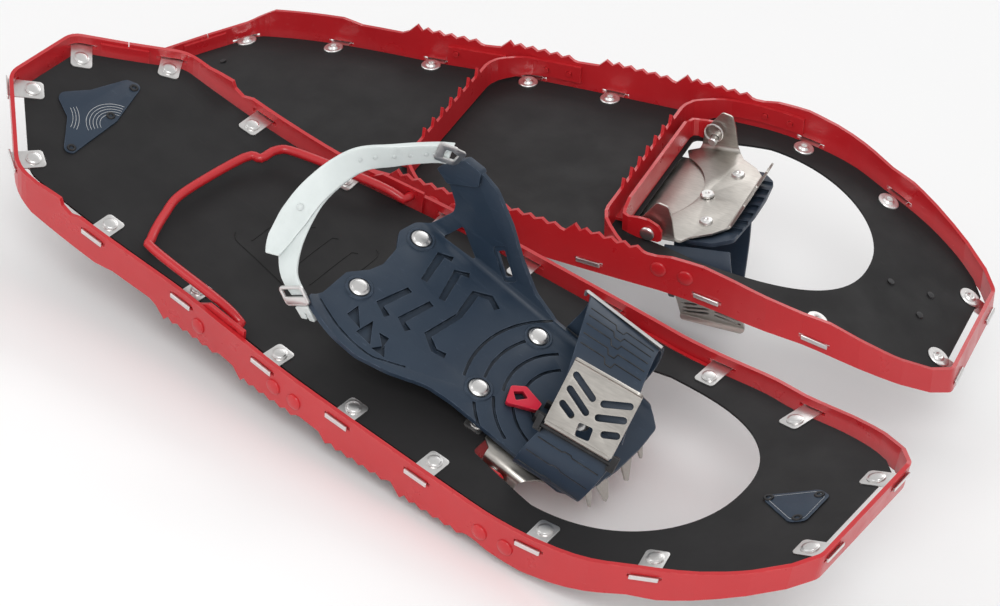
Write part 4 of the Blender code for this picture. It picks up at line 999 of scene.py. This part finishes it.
def clip_tabs():
    """Steel tabs that lie on the deck and reach through the rail's slots."""
    pieces = []
    for matrix, reach in clip_places() + crossbar_clip_places():
        end = reach + CLIP_PROUD
        outline = rounded_outline([(end, -CLIP_HALF, 0), (end, CLIP_HALF, 0),
                                   (CLIP_TAIL, CLIP_HALF, 2.8), (CLIP_TAIL, -CLIP_HALF, 2.8)])
        pieces.append(placed(softened(sheet(outline, CLIP_SHEET, z=CLIP_Z), 0.3), matrix))
    return lay_on_deck(join(pieces))


def clip_bars():
    """The bent-over ends of the clips, outside the rail."""
    pieces = []
    for matrix, reach in clip_places():
        bar = box(CLIP_BAR, (reach + CLIP_PROUD + CLIP_BAR[0] / 2, 0, CLIP_Z))
        pieces.append(placed(softened(bar, 0.65, 3), matrix))
    return lay_on_deck(join(pieces))


def clip_rivet_heads():
    """Domed heads on the clips, each with a pressed ring."""
    top = CLIP_Z + CLIP_SHEET / 2
    profile = dome(RIVET_HEAD * 0.82, 1.9, top, 1.2)[:-1]
    profile += [(RIVET_HEAD, top + 0.9), (RIVET_HEAD, top - 0.1), (0, top - 0.1)]
    return lay_on_deck(repeated(turned(profile), rivet_places()))


def clip_washers():
    """Washers under the deck, each with the rolled end of its rivet."""
    low = -DECK_SHEET / 2
    profile = [(0, low - 1.0), (1.5, low - 1.1), (1.9, low - 2.3), (2.9, low - 2.5),
               (3.5, low - 1.6), (4.0, low - 1.1), (WASHER_RADIUS - 0.5, low - 1.2),
               (WASHER_RADIUS, low - 0.7), (WASHER_RADIUS, low), (0, low)]
    return lay_on_deck(repeated(turned(profile), rivet_places()))


def rail_rivets():
    """Painted domed rivet heads on the rail."""
    head = turned(dome(5.3, 2.0, 0.0, 0.5) + [(0, 0)])
    return repeated(moved(head, turn_about("Y", 90)), rail_rivet_places())


# ---- badges

TAIL_BADGE = [(-372, -12, 6), (-353, -21, 4), (-336, -42, 5), (-329, -44, 4),
              (-331, 2, 5), (-342, 38, 4), (-352, 34, 5), (-360, 8, 4)]
TIP_BADGE = [(168, 0, 4), (196, -17, 5), (204, -13, 4), (204, 13, 4), (196, 17, 5)]
TIP_BADGE_BORDER = [(171.5, 0, 3), (195.5, -14.5, 4), (201.8, -11.5, 3), (201.8, 11.5, 3),
                    (195.5, 14.5, 4)]
BADGE_RIVETS = [(-333, -38), (-336.5, 2), (-344, 32), (173.5, 0), (198, -12), (198, 12)]
BADGE_SHEET = 1.1
BADGE_TOP = DECK_SHEET / 2 + BADGE_SHEET
BADGE_STEP = 4
BADGE_MARGIN = 1.5


def badge_plate(corners, low, high):
    """A thin plate that follows the deck, cut into strips from low to high."""
    plate = sheet(rounded_outline(corners), BADGE_SHEET, z=BADGE_TOP - BADGE_SHEET / 2)
    plate = softened(plate, 0.25)
    cut_at(plate, [Vector((x, 0, 0)) for x in range(low, high, BADGE_STEP)], Vector((1, 0, 0)))
    return lay_on_deck(plate)


def tail_badge():
    return badge_plate(TAIL_BADGE, -376, -326)


def tip_badge():
    return badge_plate(TIP_BADGE, 164, 208)


def badge_rivets():
    """Dark eyelet rivets, tops and tails."""
    profile = [(0, BADGE_TOP - 0.1), (1.2, BADGE_TOP), (1.7, BADGE_TOP + 0.8),
               (2.6, BADGE_TOP + 0.8), (3.0, BADGE_TOP + 0.1), (3.0, BADGE_TOP - 0.2),
               (1.3, BADGE_TOP - 0.2), (1.3, -1.1), (2.4, -1.1), (2.2, -1.9), (0, -2.1)]
    return lay_on_deck(repeated(turned(profile, 20), [at(x, y) for x, y in BADGE_RIVETS]))


def badge_lines():
    """Plain contour rings and cross lines on the tail badge."""
    curves = [arc((-330, -2), 9.0 + 2.2 * number, 96, 248, 20) for number in range(5)]
    curves += [arc((-366, -34), 22.0 + 2.0 * number, 22, 66, 12) for number in range(3)]
    outline = rounded_outline(TAIL_BADGE)
    wires = []
    for points in curves:
        inside = [(x, y, BADGE_TOP) for x, y in points if inside_outline((x, y), outline)]
        if len(inside) > 2:
            wires.append(tube(inside, 0.16, 1))
    return lay_on_deck(join(wires))


def inside_outline(point, outline):
    """Whether a point is well inside an outline."""
    x, y = point
    inside = False
    for (x0, y0), (x1, y1) in zip([outline[-1]] + outline, outline):
        if (y1 > y) != (y0 > y) and x < (x0 - x1) * (y - y1) / (y0 - y1) + x1:
            inside = not inside
    return inside and min(math.dist(point, corner) for corner in outline) > BADGE_MARGIN


def badge_border():
    """A thin pale line just inside the tip badge's edge."""
    line = [(x, y, BADGE_TOP) for x, y in rounded_outline(TIP_BADGE_BORDER)]
    return lay_on_deck(tube(line, 0.12, 1, closed=True))


# ---- heel lifter and pins

def heel_lifter():
    """The bail, lying back along the deck, with its ends bent out into the brackets."""
    x, _, z = LIFTER_AXIS
    end = half_width(x) - RAIL_SHEET - 0.6
    corners = [(x - 1, -end + 8, z)] + [(px, py, LIFTER_Z) for px, py in LIFTER_PATH]
    corners += [(x - 1, end - 8, z)]
    bail = spline_through(corners, 3.0)
    line = [(x, -end, z), (x, -end + 4, z)] + bail + [(x, end - 4, z), (x, end, z)]
    return tube(line, LIFTER_WIRE, 4)


def pivot_pins():
    """Both headed pins through the ears."""
    outer = EAR_HALF + BAR_SHEET / 2 + GAP
    profile = [(0, outer + 2.2), (3.4, outer + 2.1), (4.4, outer + 1.6), (4.9, outer + 0.9),
               (4.9, outer), (PIN_RADIUS, outer), (PIN_RADIUS, PIN_INNER_END + 0.8),
               (PIN_RADIUS - 0.8, PIN_INNER_END), (0, PIN_INNER_END)]
    return repeated(across_y(turned(profile)), [at(*PIVOT), at(*PIVOT) @ turn_about("Z", 180)])


def split_ring():
    """A ring of nearly two close turns of wire."""
    x, _, z = PIVOT
    points = []
    for index in range(RING_POINTS):
        angle = math.radians(-80 + 11.2 * index)
        y = SPLIT_RING_Y + 1.1 * (index / (RING_POINTS - 1) - 0.5)
        points.append((x + SPLIT_RING_RADIUS * math.cos(angle), y,
                       z - SPLIT_RING_RADIUS + SPLIT_RING_RADIUS * math.sin(angle)))
    return tube(points, 0.55, 2)


# ---- crampon

def crampon_outline():
    """Flat blank of the crampon, with its ears and claws still unfolded."""
    ear = STEEL_EAR_HALF
    half = [(48, 6, 1.5), (68, 9, 0.6), (70, 12, 0.8), (52, 19, 1.5), (50, 23, 1.5), (66, 27, 0.8),
            (45, 31, 1.5), (36, 42, 4), (24, 50, 3), (16.5, ear + 1, 3), (15.5, ear + 16, 3),
            (13.5, ear + 25, 3), (6, ear + 27, 3), (0, ear + 20, 4), (-7, ear + 12, 4),
            (-8.5, ear + 4, 2), (-10, 55, 1), (-17, 50, 2)]
    notch = [(x, y, 0) for x, y in arc((-36, 0), 47.5, 60, 4, 12)]
    side = half + notch
    return rounded_outline(side + [(x, -y, radius) for x, y, radius in reversed(side)], 4)


def crampon_plate():
    """The steel plate, with its ears and front claws bent down."""
    plate = sheet(crampon_outline(), STEEL_SHEET, [circle(3.0, 24, (AXIS_X, 0.0))], CRAMPON_Z)
    bend = STEEL_EAR_HALF - STEEL_SHEET / 2 - EAR_BEND
    for side in (1, -1):
        fold(plate, (0, side * bend, CRAMPON_Z), (side, 0, 0), (0, side, 0), 90.0, EAR_BEND)
    fold(plate, (CLAW_FOLD_X, 0, CRAMPON_Z), (0, -1, 0), (1, 0, 0), CLAW_FOLD, EAR_BEND)
    return softened(combined(plate, [pin_hole()], "DIFFERENCE"), 0.3)


def crampon_rivets():
    low = CRAMPON_Z - STEEL_SHEET / 2
    profile = [(0, low + 0.3), (4.6, low + 0.3), (4.6, low - 0.5), (4.0, low - 1.6),
               (1.8, low - 1.9), (1.4, low - 1.3), (0, low - 1.2)]
    return repeated(turned(profile), [at(27.3, side * 30.0) for side in (1, -1)])


def axis_rivet():
    """The rivet the binding turns on."""
    top = AXIS_PLATE_Z + AXIS_PLATE_SHEET / 2 + GAP
    low = CRAMPON_Z - STEEL_SHEET / 2 - GAP
    profile = [(0, top + 1.8), (2.5, top + 1.7), (4.2, top + 1.2), (5, top + 0.5), (5, top),
               (2.6, top), (2.6, low), (4.8, low), (4.6, low - 1.2), (3.8, low - 1.9),
               (1.6, low - 1.9), (1.2, low - 1.2), (0, low - 1.1)]
    return shifted(turned(profile), (AXIS_X, 0, 0))


# ---- binding base

BASE_OUTLINE = [
    (-149, -27, 5), (-148, -50, 5), (-152, -61, 3), (-146, -67, 5), (-133, -69.5, 14),
    (-105, -70.5, 22), (-84, -64, 20), (-62, -53, 20), (-44, -50.5, 6), (10, -50, 10),
    (38, -49, 6), (50, -40, 6), (53, -8, 10), (53, 14, 10), (51, 34, 6), (38, 46, 6),
    (-4, 48.5, 4), (-40, 48.5, 8), (-59, 55.5, 12), (-77, 70.5, 20), (-92.5, 87, 20),
    (-111, 101.5, 12), (-127, 105.5, 4), (-137, 105, 4), (-148, 93, 3), (-151, 86, 1.5),
    (-141.5, 82.5, 2), (-128, 69, 10), (-135, 56, 10), (-140, 46, 5), (-147, 38, 8),
    (-149, 24, 6), (-141, 12, 6), (-138.5, -4, 8), (-141, -14, 6)]
ARM_WINDOW = [(-129, 43.5, 1.5), (-120.3, 61.5, 1.5), (-102, 45.5, 1.5)]
ARM_SLOT = [(-93.5, 63, 1), (-89.7, 67.4, 1), (-77.2, 54.5, 1), (-81, 50.5, 1)]
ARM_SLOT_BORDER = [(-97.5, 64, 2), (-89.8, 72, 2), (-73, 54, 2), (-80, 46.8, 2)]
ARM_END_BLOCK = [(-151.5, 86.5, 1), (-141.5, 82, 2), (-122, 96, 3), (-124.5, 106.2, 3),
                 (-137.3, 105.8, 3), (-148.6, 93.5, 2)]

# Tread of the base: lines of the heel part, rings round the ball of the foot as radius, first
# and last angle and pieces, three-cornered pockets by the outer heel rivet, and the edge line
CHEVRONS = [
    [(-113, 34), (-120, 31), (-114, 6.5)],
    [(-98, 32.7), (-104.6, 28.7), (-97.3, 3.9)],
    [(-115, -5.7), (-120, -29), (-111, -32.7)],
    [(-99.5, -3.3), (-103.7, -27.7), (-95.7, -31)],
    [(-68.6, -27.3), (-75.9, -29.6), (-85.8, -23.6), (-82.5, 3.2), (-86.8, 24.9),
     (-78.5, 29.8), (-70.2, 25.9)],
]
RINGS = [(70, 138, 206, 20), (58, 152, 202, 18), (45, 140, 207, 18), (33, 142, 206, 16),
         (62, 221, 240, 12), (50, 214, 250, 12), (38, 214, 262, 12), (26, 220, 276, 12)]
RING_CENTRE = (11, 1)
POCKETS = [
    [(-128, -51), (-127.6, -40.6), (-115.6, -53.1)],
    [(-115.8, -56.5), (-114.2, -42.3), (-103.8, -57.4)],
    [(-106.2, -46), (-99.4, -44.4), (-97.5, -53.3)],
    [(-102, -58.8), (-97.5, -51), (-92.1, -57.8)],
]
EDGE_LINE = [(-146, -55.4), (-123.4, -62.7), (-100.7, -63.9), (-89.5, -59), (-79.2, -53.1)]


def channel_cutters():
    """Solids that cut the grooves in the base's top."""
    chevrons = [stroke(line, CHANNEL_WIDTH) for line in CHEVRONS]
    rings = [stroke(arc(RING_CENTRE, *ring), RING_GROOVE) for ring in RINGS]
    edge = stroke(spline_through(EDGE_LINE, 3.0), EDGE_GROOVE)
    border = rounded_outline(ARM_SLOT_BORDER)
    groups = [(chevrons, CHANNEL_DEPTH), (rings, RING_DEPTH), (POCKETS, CHANNEL_DEPTH),
              ([edge, border], EDGE_DEPTH)]
    cutters = []
    for outlines, depth in groups:
        cutters += [sheet(points, 2 * depth, z=BASE_TOP) for points in outlines]
    cutters.append(sheet(border, 2 * EDGE_DEPTH, z=BASE_LOW))
    return cutters


def toe_rib_cutters():
    """Slots moulded across the underside of the toe."""
    cutters = []
    for y in range(-30, 31, 10):
        corners = [(40, y - 3.4, 1), (52, y - 3.4, 1), (52, y + 3.4, 1), (40, y + 3.4, 1)]
        cutters.append(sheet(rounded_outline(corners, 2), 3.0, z=BASE_LOW))
    return cutters


def base_rivet_spots():
    return [(x, side * half) for x, half in (HEEL_RIVETS, TOE_RIVETS) for side in (1, -1)]


def base_plate():
    """The moulded base: grooves, windows and holes, then the far arm and the near wing folded."""
    holes = [circle(BASE_RIVET_HOLE, 16, spot) for spot in base_rivet_spots()]
    holes += [rounded_outline(ARM_WINDOW), rounded_outline(ARM_SLOT)]
    holes.append(circle(AXIS_HOLE, 24, (AXIS_X, 0.0)))
    plate = sheet(rounded_outline(BASE_OUTLINE), BASE_SHEET, holes, BASE_Z)
    plate = combined(plate, channel_cutters() + toe_rib_cutters(), "DIFFERENCE")
    end_block = sheet(rounded_outline(ARM_END_BLOCK), ARM_END_SHEET, z=BASE_Z)
    plate = combined(plate, [end_block], "UNION")
    plate = softened(plate, 0.4)
    fold(plate, ARM_FOLD_PLACE, (-1, 0, 0), (0, 1, 0), ARM_FOLD, ARM_BEND)
    lean = Vector(WING_LEAN).normalized()
    fold(plate, WING_FOLD_PLACE, Vector((lean.y, -lean.x, 0)), lean, WING_FOLD, WING_BEND)
    return plate


def base_rings():
    """Raised rings round the rivets."""
    top = BASE_TOP
    profile = [(0, top + 0.05), (7.0, top + 0.05), (7.4, top + 0.8), (8.6, top + 0.8),
               (9.4, top - 0.2), (0, top - 0.2)]
    return repeated(turned(profile, 32), [at(x, y) for x, y in base_rivet_spots()])


def base_rivets():
    """Domed rivets through the base and the steel plates under it."""
    top = BASE_TOP + 0.1
    low = AXIS_PLATE_Z - AXIS_PLATE_SHEET / 2 - GAP
    profile = [(0, top + 2.7), (3.2, top + 2.6), (4.6, top + 2.2), (5.2, top + 1.4),
               (BASE_RIVET_HEAD, top + 0.9), (BASE_RIVET_HEAD, top), (2.0, top), (2.0, low),
               (4.0, low), (3.8, low - 0.9), (1.6, low - 1.1), (0, low - 0.6)]
    return repeated(turned(profile), [at(x, y) for x, y in base_rivet_spots()])


def axis_lever():
    """The red lever on the base, with its finger window."""
    outline = rounded_outline([(-27.4, -14.8, 2), (-20.8, -8.0, 2), (-6.4, -10.8, 1),
                               (-5.4, -16.8, 1), (-16.1, -23.4, 3), (-22.0, -27.6, 2)])
    window = rounded_outline([(-23.8, -17.3, 0.8), (-19.8, -12.4, 0.8), (-14.5, -14.2, 0.8),
                              (-18.8, -21.3, 0.8)])
    lever = sheet(outline, 3.0, [window], BASE_TOP + GAP + 1.6)
    return softened(lever, 0.6, 3)


def lever_holder():
    """The dark catch that holds the lever between its two cheeks."""
    outline = rounded_outline([(-4, -6.5, 1), (6.2, -6.5, 1), (6.2, 9.5, 1), (-1, 9.5, 0.8),
                               (-1, 7.2, 0.5), (4.7, 7.2, 0.5), (4.7, -0.9, 0.5), (-4, -0.9, 0.8)])
    place = at(-1.9, -15.7, BASE_TOP + 2.6) @ turn_about("Z", 17.3)
    return moved(softened(sheet(outline, 6.0), 0.6), place)


# ---- toe straps and buckle

def point_along(points, t):
    """A point at share t of the way along a smooth line."""
    line = [Vector(point) for point in spline_through(points, 1.5)]
    lengths = [0.0]
    for start, end in zip(line, line[1:]):
        lengths.append(lengths[-1] + (end - start).length)
    target = t * lengths[-1]
    for index in range(len(line) - 1):
        if target <= lengths[index + 1]:
            share = (target - lengths[index]) / (lengths[index + 1] - lengths[index])
            return line[index].lerp(line[index + 1], share)
    return line[-1]


def strap_between(back, front, across=8, count=36):
    """A sheet between two edge lines."""
    rows = []
    for index in range(count + 1):
        start = point_along(back, index / count)
        end = point_along(front, index / count)
        rows.append([tuple(start.lerp(end, column / across)) for column in range(across + 1)])
    return softened(band(rows, TOE_SHEET), 0.7, 3, STRAP_EDGE)


def on_strap(back, front, t, share, lift):
    """A point on the outer face of a strap: t along it, share across it."""
    here = point_along(back, t).lerp(point_along(front, t), share)
    ahead = point_along(back, t + 0.01).lerp(point_along(front, t + 0.01), share)
    across = point_along(front, t) - point_along(back, t)
    up = across.cross(ahead - here).normalized()
    return here + up * lift


def relief_line(back, front, t, lift):
    """A moulded line across a strap, with a small step in its middle."""
    points = []
    for index in range(31):
        share = 0.05 + 0.9 * index / 30
        step = RELIEF_STEP if 0.42 < share < 0.56 else 0.0
        points.append(tuple(on_strap(back, front, t + step, share, lift)))
    return tube(points, RELIEF_RADIUS, 1)


def near_toe_strap():
    return strap_between(NEAR_BACK, NEAR_FRONT)


def far_toe_strap():
    return strap_between(FAR_BACK, FAR_FRONT)


# Relief lines of the near strap, coloured black as painted shade of the moulded lines on the slate
# strap
def near_relief_shade():
    lift = TOE_SHEET / 2 - RELIEF_SINK
    return join([relief_line(NEAR_BACK, NEAR_FRONT, t, lift) for t in NEAR_RELIEF])


# Relief lines of the far strap, coloured black as painted shade of the moulded lines on the slate
# strap
def far_relief_shade():
    lift = RELIEF_SINK - TOE_SHEET / 2
    return join([relief_line(FAR_BACK, FAR_FRONT, t, lift) for t in FAR_RELIEF])


def crest_edge():
    """The thin steel strip along the far flap's crest, hooked over its back corner."""
    line = [(-23.5, 24.5, 78.0), (-23.2, 22.5, 82.5), (-22.0, 21.5, 84.8), (33.5, 20.8, 88.6)]
    return tube(line, 1.1, 2)


def plate_frame():
    """Axes of the toe buckle plate: origin at the hinge end, X along the hinge."""
    back_low, front_low, front_high, back_high = [Vector(corner) for corner in PLATE_CORNERS]
    origin = (back_low + front_low) / 2
    x_axis = (front_low - back_low).normalized()
    up = (front_high + back_high) / 2 - origin
    z_axis = x_axis.cross(up).normalized()
    y_axis = z_axis.cross(x_axis)
    return at(*origin) @ Matrix((x_axis, y_axis, z_axis)).transposed().to_4x4()


def long_hole(x, y, length, width, turn):
    """A slot with rounded ends."""
    end = arc(((length - width) / 2, 0), width / 2, -90, 90, 6)
    points = end + [(-px, -py) for px, py in end]
    cosine, sine = math.cos(turn), math.sin(turn)
    return [(x + px * cosine - py * sine, y + px * sine + py * cosine) for px, py in points]


def buckle_holes():
    """Two fans of three slots, and a window at the hinge edge."""
    slots = [(-10.5, 29.5, 20.5, -26), (-10.2, 20.5, 20.5, -27), (-13.7, 13.0, 12.5, -24),
             (11.3, 29.5, 20.0, 24), (11.9, 20.7, 19.5, 23), (15.9, 12.4, 12.0, 23)]
    holes = [long_hole(*slot[:3], 4.3, math.radians(slot[3])) for slot in slots]
    holes.append(rounded_outline([(-3, 1.6, 1.5), (6.4, 2.8, 1.5), (5.4, 11, 1.5), (-4, 10, 1.5)]))
    return holes


def toe_buckle():
    """The slotted steel plate, with its lip folded and its hinge edge rolled."""
    half = BUCKLE_LENGTH / 2
    top = BUCKLE_WIDTH + BUCKLE_LIP
    outline = rounded_outline([(-half, 0, 1.5), (half, 0, 1.5), (half, top, 3), (-half, top, 3)])
    plate = sheet(outline, STEEL_SHEET, buckle_holes())
    fold(plate, (0, BUCKLE_WIDTH - 1.5, 0), (-1, 0, 0), (0, 1, 0), BUCKLE_LIP_FOLD, 2.0)
    roll = tube([(-half + 1, 0.2, 0.3), (half - 1, 0.2, 0.3)], 1.5)
    return moved(join([softened(plate, 0.3), roll]), plate_frame() @ at(0, 0, BUCKLE_STANDOFF))


def buckle_hinge():
    """The hinge pin below the buckle's lower edge, with its two end blocks."""
    half = BUCKLE_LENGTH / 2
    z = BUCKLE_STANDOFF
    pin = tube([(-half - 3, BUCKLE_PIN_Y, z), (half + 3, BUCKLE_PIN_Y, z)], 1.3)
    blocks = []
    for side in (1, -1):
        x = side * (half + 2.6)
        blocks.append(softened(box((4.0, 9.0, 4.0), (x, -1.2, z)), 0.7))
        blocks.append(softened(box((5.0, 3.0, 3.0), (x - side * 0.6, -5.2, z - 0.6)), 0.5))
    return moved(join([pin, *blocks]), plate_frame())


# ---- heel strap

def strap_rows(line, widths, across=6):
    """Rows of points across a strap, from places and ways across it along its run."""
    rows = []
    last = len(line) - 1
    for index, (x, y, z, *way) in enumerate(line):
        middle = Vector((x, y, z))
        reach = Vector(way).normalized() * interpolate(index / last, widths) / 2
        rows.append([tuple(middle + reach * (2 * column / across - 1))
                     for column in range(across + 1)])
    return rows


def strap_layer(line, widths):
    rows = strap_rows(spline_through(line, STRAP_STEP), widths)
    return softened(band(rows, HEEL_STRAP_SHEET), 0.8, 3, STRAP_EDGE)


def heel_strap():
    """The rubber band behind the heel."""
    return strap_layer(HEEL_STRAP, HEEL_STRAP_WIDTHS)


def strap_tail():
    """The free end, doubled over the band, with its blunt tapered end."""
    return strap_layer(STRAP_TAIL, STRAP_TAIL_WIDTHS)


def strap_studs():
    """The stud that buttons the layers together, and the row of small adjusting bumps."""
    line = spline_through(STRAP_TAIL, STRAP_STEP)
    stud = turned(dome(2.3, 1.3, 0.0, 0.3) + [(0, 0)], 16)
    bump = turned(dome(1.5, 0.5, 0.0, 0.1) + [(0, 0)], 12)
    pieces = []
    for share in (STUD_SHARE, *BUMP_SHARES):
        index = round(share * (len(line) - 1))
        run = Vector(line[index + 1][:3]) - Vector(line[index - 1][:3])
        up = Vector(line[index][3:]).cross(run).normalized()
        turn = up.to_track_quat("Z", "Y").to_matrix().to_4x4()
        place = at(*(Vector(line[index][:3]) + up * (HEEL_STRAP_SHEET / 2 - 0.1)))
        pieces.append(placed(stud if share == STUD_SHARE else bump, place @ turn))
    return join(pieces)


def buckle_matrix():
    """Axes of the near buckle: X across the strap, Y along its run."""
    across = Vector(BUCKLE_ACROSS).normalized()
    up = across.cross(Vector(BUCKLE_RUN)).normalized()
    run = up.cross(across)
    turn = Matrix((across, run, up)).transposed().to_4x4()
    return at(*BUCKLE_PLACE) @ turn


def heel_buckle():
    """The wire frame and its bar at the near end of the heel strap."""
    corners = [(-8.5, -6, 2), (8.5, -6, 2), (8.5, 6, 2), (-8.5, 6, 2)]
    loop = [(x, y, 1.6) for x, y in rounded_outline(corners)]
    frame = tube(loop, 1.2, 3, closed=True)
    plate = sheet(rounded_outline([(-8, -5.6, 1), (8, -5.6, 1), (8, -0.5, 1), (-8, -0.5, 1)]), 1.2)
    return moved(join([frame, shifted(softened(plate, 0.3), (0, 0, 2.2))]), buckle_matrix())


def strap_end():
    """The short notched end of the strap below the near buckle."""
    outline = rounded_outline([(-4, -17, 0.6), (0, -18, 0.6), (0.3, -13.5, 0.4), (1.3, -13.5, 0.4),
                               (1.5, -19, 0.6), (5.5, -20, 0.6), (5.5, -8.6, 1), (-5, -8.6, 1)])
    return moved(softened(sheet(outline, 2.2), 0.5), buckle_matrix())


def heel_hook():
    """The bent steel hook that joins the strap to the far arm."""
    outline = rounded_outline([(-8, -7.5, 2), (7, -7, 2), (11, 2, 2), (3, 7.5, 2), (-8, 7.5, 2)])
    hole = rounded_outline([(-3, -4, 1), (4, -3.6, 1), (6, 1.4, 1), (1, 4, 1), (-3, 4, 1)])
    hook = softened(sheet(outline, 1.5, [hole]), 0.45)
    fold(hook, (3, 0, 0), (0, -1, 0), (1, 0, 0), HOOK_BEND, 3.0)
    return moved(hook, at(*HOOK_PLACE) @ turn_about("Z", HOOK_TURN) @ turn_about("X", 90))


# ---- the two shoes

PAINTED_NODES = ["frame", "tail_splice", "rear_crossbar", "front_crossbar",
                 "inner_lifter_bracket", "outer_lifter_bracket"]
STEEL_NODES = ["axis_plate", "heel_plate"]
BASE_RIVETS = ["inner_heel_rivet", "outer_heel_rivet", "inner_toe_rivet", "outer_toe_rivet"]

# Each piece's name, shape, material and body, and the CAD nodes that it stands for
PIECES = [
    ("rail_rivets", rail_rivets, "red_paint", "frame", []),
    ("deck_sheet", deck_sheet, "deck_cloth", "frame", ["deck"]),
    # The pressed deck lines get a darker colour as painted shade of their grooves
    ("deck_grooves", deck_grooves, "deck_groove_shade", "frame", []),
    ("clip_tabs", clip_tabs, "bright_steel", "frame", []),
    ("clip_bars", clip_bars, "bright_steel", "frame", []),
    ("clip_rivets", clip_rivet_heads, "bright_steel", "frame", []),
    ("clip_washers", clip_washers, "washer_steel", "frame", []),
    ("tail_badge", tail_badge, "slate_plastic", "frame", ["tail_badge"]),
    ("tip_badge", tip_badge, "slate_plastic", "frame", ["tip_badge"]),
    ("badge_rivets", badge_rivets, "black_plastic", "frame", []),
    ("badge_lines", badge_lines, "pale_ink", "frame", []),
    ("badge_border", badge_border, "pale_ink", "frame", []),
    ("heel_lifter", heel_lifter, "red_paint", "lifter", ["heel_lifter"]),
    ("pivot_pins", pivot_pins, "bright_steel", "frame", ["inner_pivot_pin", "outer_pivot_pin"]),
    ("split_ring", split_ring, "bright_steel", "frame", ["split_ring"]),
    ("crampon", crampon_plate, "brushed_steel", "crampon", ["crampon_plate"]),
    ("crampon_rivets", crampon_rivets, "bright_steel", "crampon", []),
    ("axis_rivet", axis_rivet, "bright_steel", "crampon", ["axis_rivet"]),
    ("base", base_plate, "slate_plastic", "base", ["binding_base"]),
    ("base_rings", base_rings, "slate_plastic", "base", []),
    ("base_rivets", base_rivets, "bright_steel", "base", BASE_RIVETS),
    ("lever_holder", lever_holder, "black_plastic", "base", []),
    ("axis_lever", axis_lever, "lever_red", "lever", ["axis_lever"]),
    ("near_toe_strap", near_toe_strap, "slate_plastic", "base", ["outer_toe_strap"]),
    ("far_toe_strap", far_toe_strap, "slate_plastic", "base", ["inner_toe_strap"]),
    # The relief lines are black: painted shade of the moulded lines on the slate straps
    ("near_relief_shade", near_relief_shade, "black_plastic", "base", []),
    ("far_relief_shade", far_relief_shade, "black_plastic", "base", []),
    ("crest_edge", crest_edge, "bright_steel", "base", []),
    ("toe_buckle", toe_buckle, "brushed_steel", "toe_buckle", ["toe_buckle"]),
    ("buckle_hinge", buckle_hinge, "black_plastic", "base", ["buckle_hinge"]),
    ("heel_strap", heel_strap, "pale_rubber", "heel_strap", ["heel_strap"]),
    ("strap_tail", strap_tail, "pale_rubber", "heel_strap", []),
    ("strap_studs", strap_studs, "pale_rubber", "heel_strap", []),
    ("strap_end", strap_end, "pale_rubber", "base", []),
    ("heel_buckle", heel_buckle, "bright_steel", "heel_strap", ["heel_buckle"]),
    ("heel_hook", heel_hook, "bright_steel", "heel_strap", ["heel_hook"]),
]


def finishes():
    """Every material of the object, by the name of its finish."""
    materials = {"red_paint": paint(), "deck_cloth": deck_cloth(), "pale_rubber": rubber()}
    for name, values in STEELS.items():
        materials[name] = steel(name, *values)
    for name, values in PLASTICS.items():
        materials[name] = plastic(name, *values)
    return materials


# ---- stage

def make_floor():
    bm = bmesh.new()
    bmesh.ops.create_grid(bm, x_segments=8, y_segments=8, size=FLOOR_HALF)
    floor = object_from(bm, "floor")
    floor.data.materials.append(floor_finish())
    floor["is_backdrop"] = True


def make_world():
    world = bpy.data.worlds.new("studio")
    world.use_nodes = True
    background = world.node_tree.nodes["Background"]
    background.inputs["Color"].default_value = (1.0, 1.0, 1.0, 1.0)
    background.inputs["Strength"].default_value = SKY_STRENGTH
    bpy.context.scene.world = world


def make_light(name, place, size, power):
    """A soft rectangular lamp that faces the shoes."""
    data = bpy.data.lights.new(name, "AREA")
    data.shape = "RECTANGLE"
    data.size, data.size_y = size
    data.energy = power
    lamp = linked(name, data)
    lamp.location = place
    lamp.rotation_euler = (LIGHT_TARGET - Vector(place)).to_track_quat("-Z", "Y").to_euler()
    lamp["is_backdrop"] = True


def make_camera():
    data = bpy.data.cameras.new("camera")
    data.lens = CAMERA_LENS
    camera = linked("camera", data)
    camera.location = CAMERA_PLACE
    camera.rotation_euler = [math.radians(angle) for angle in CAMERA_TURN]
    bpy.context.scene.camera = camera


def make_stage():
    bpy.context.scene.view_settings.view_transform = "Standard"
    make_floor()
    make_world()
    for light in LIGHTS:
        make_light(*light)
    make_camera()


# ---- run

def corners():
    low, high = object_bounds()
    return [list(low), list(high)]


def main():
    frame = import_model()
    materials = finishes()
    dress(frame, PAINTED_NODES, "red_paint", materials, PAINT_EDGE)
    dress(frame, STEEL_NODES, "brushed_steel", materials, STEEL_EDGE)
    for name, shape, finish, body, replaces in PIECES:
        put(shape(), name, finish, materials, body, replaces)
    make_stage()


main()
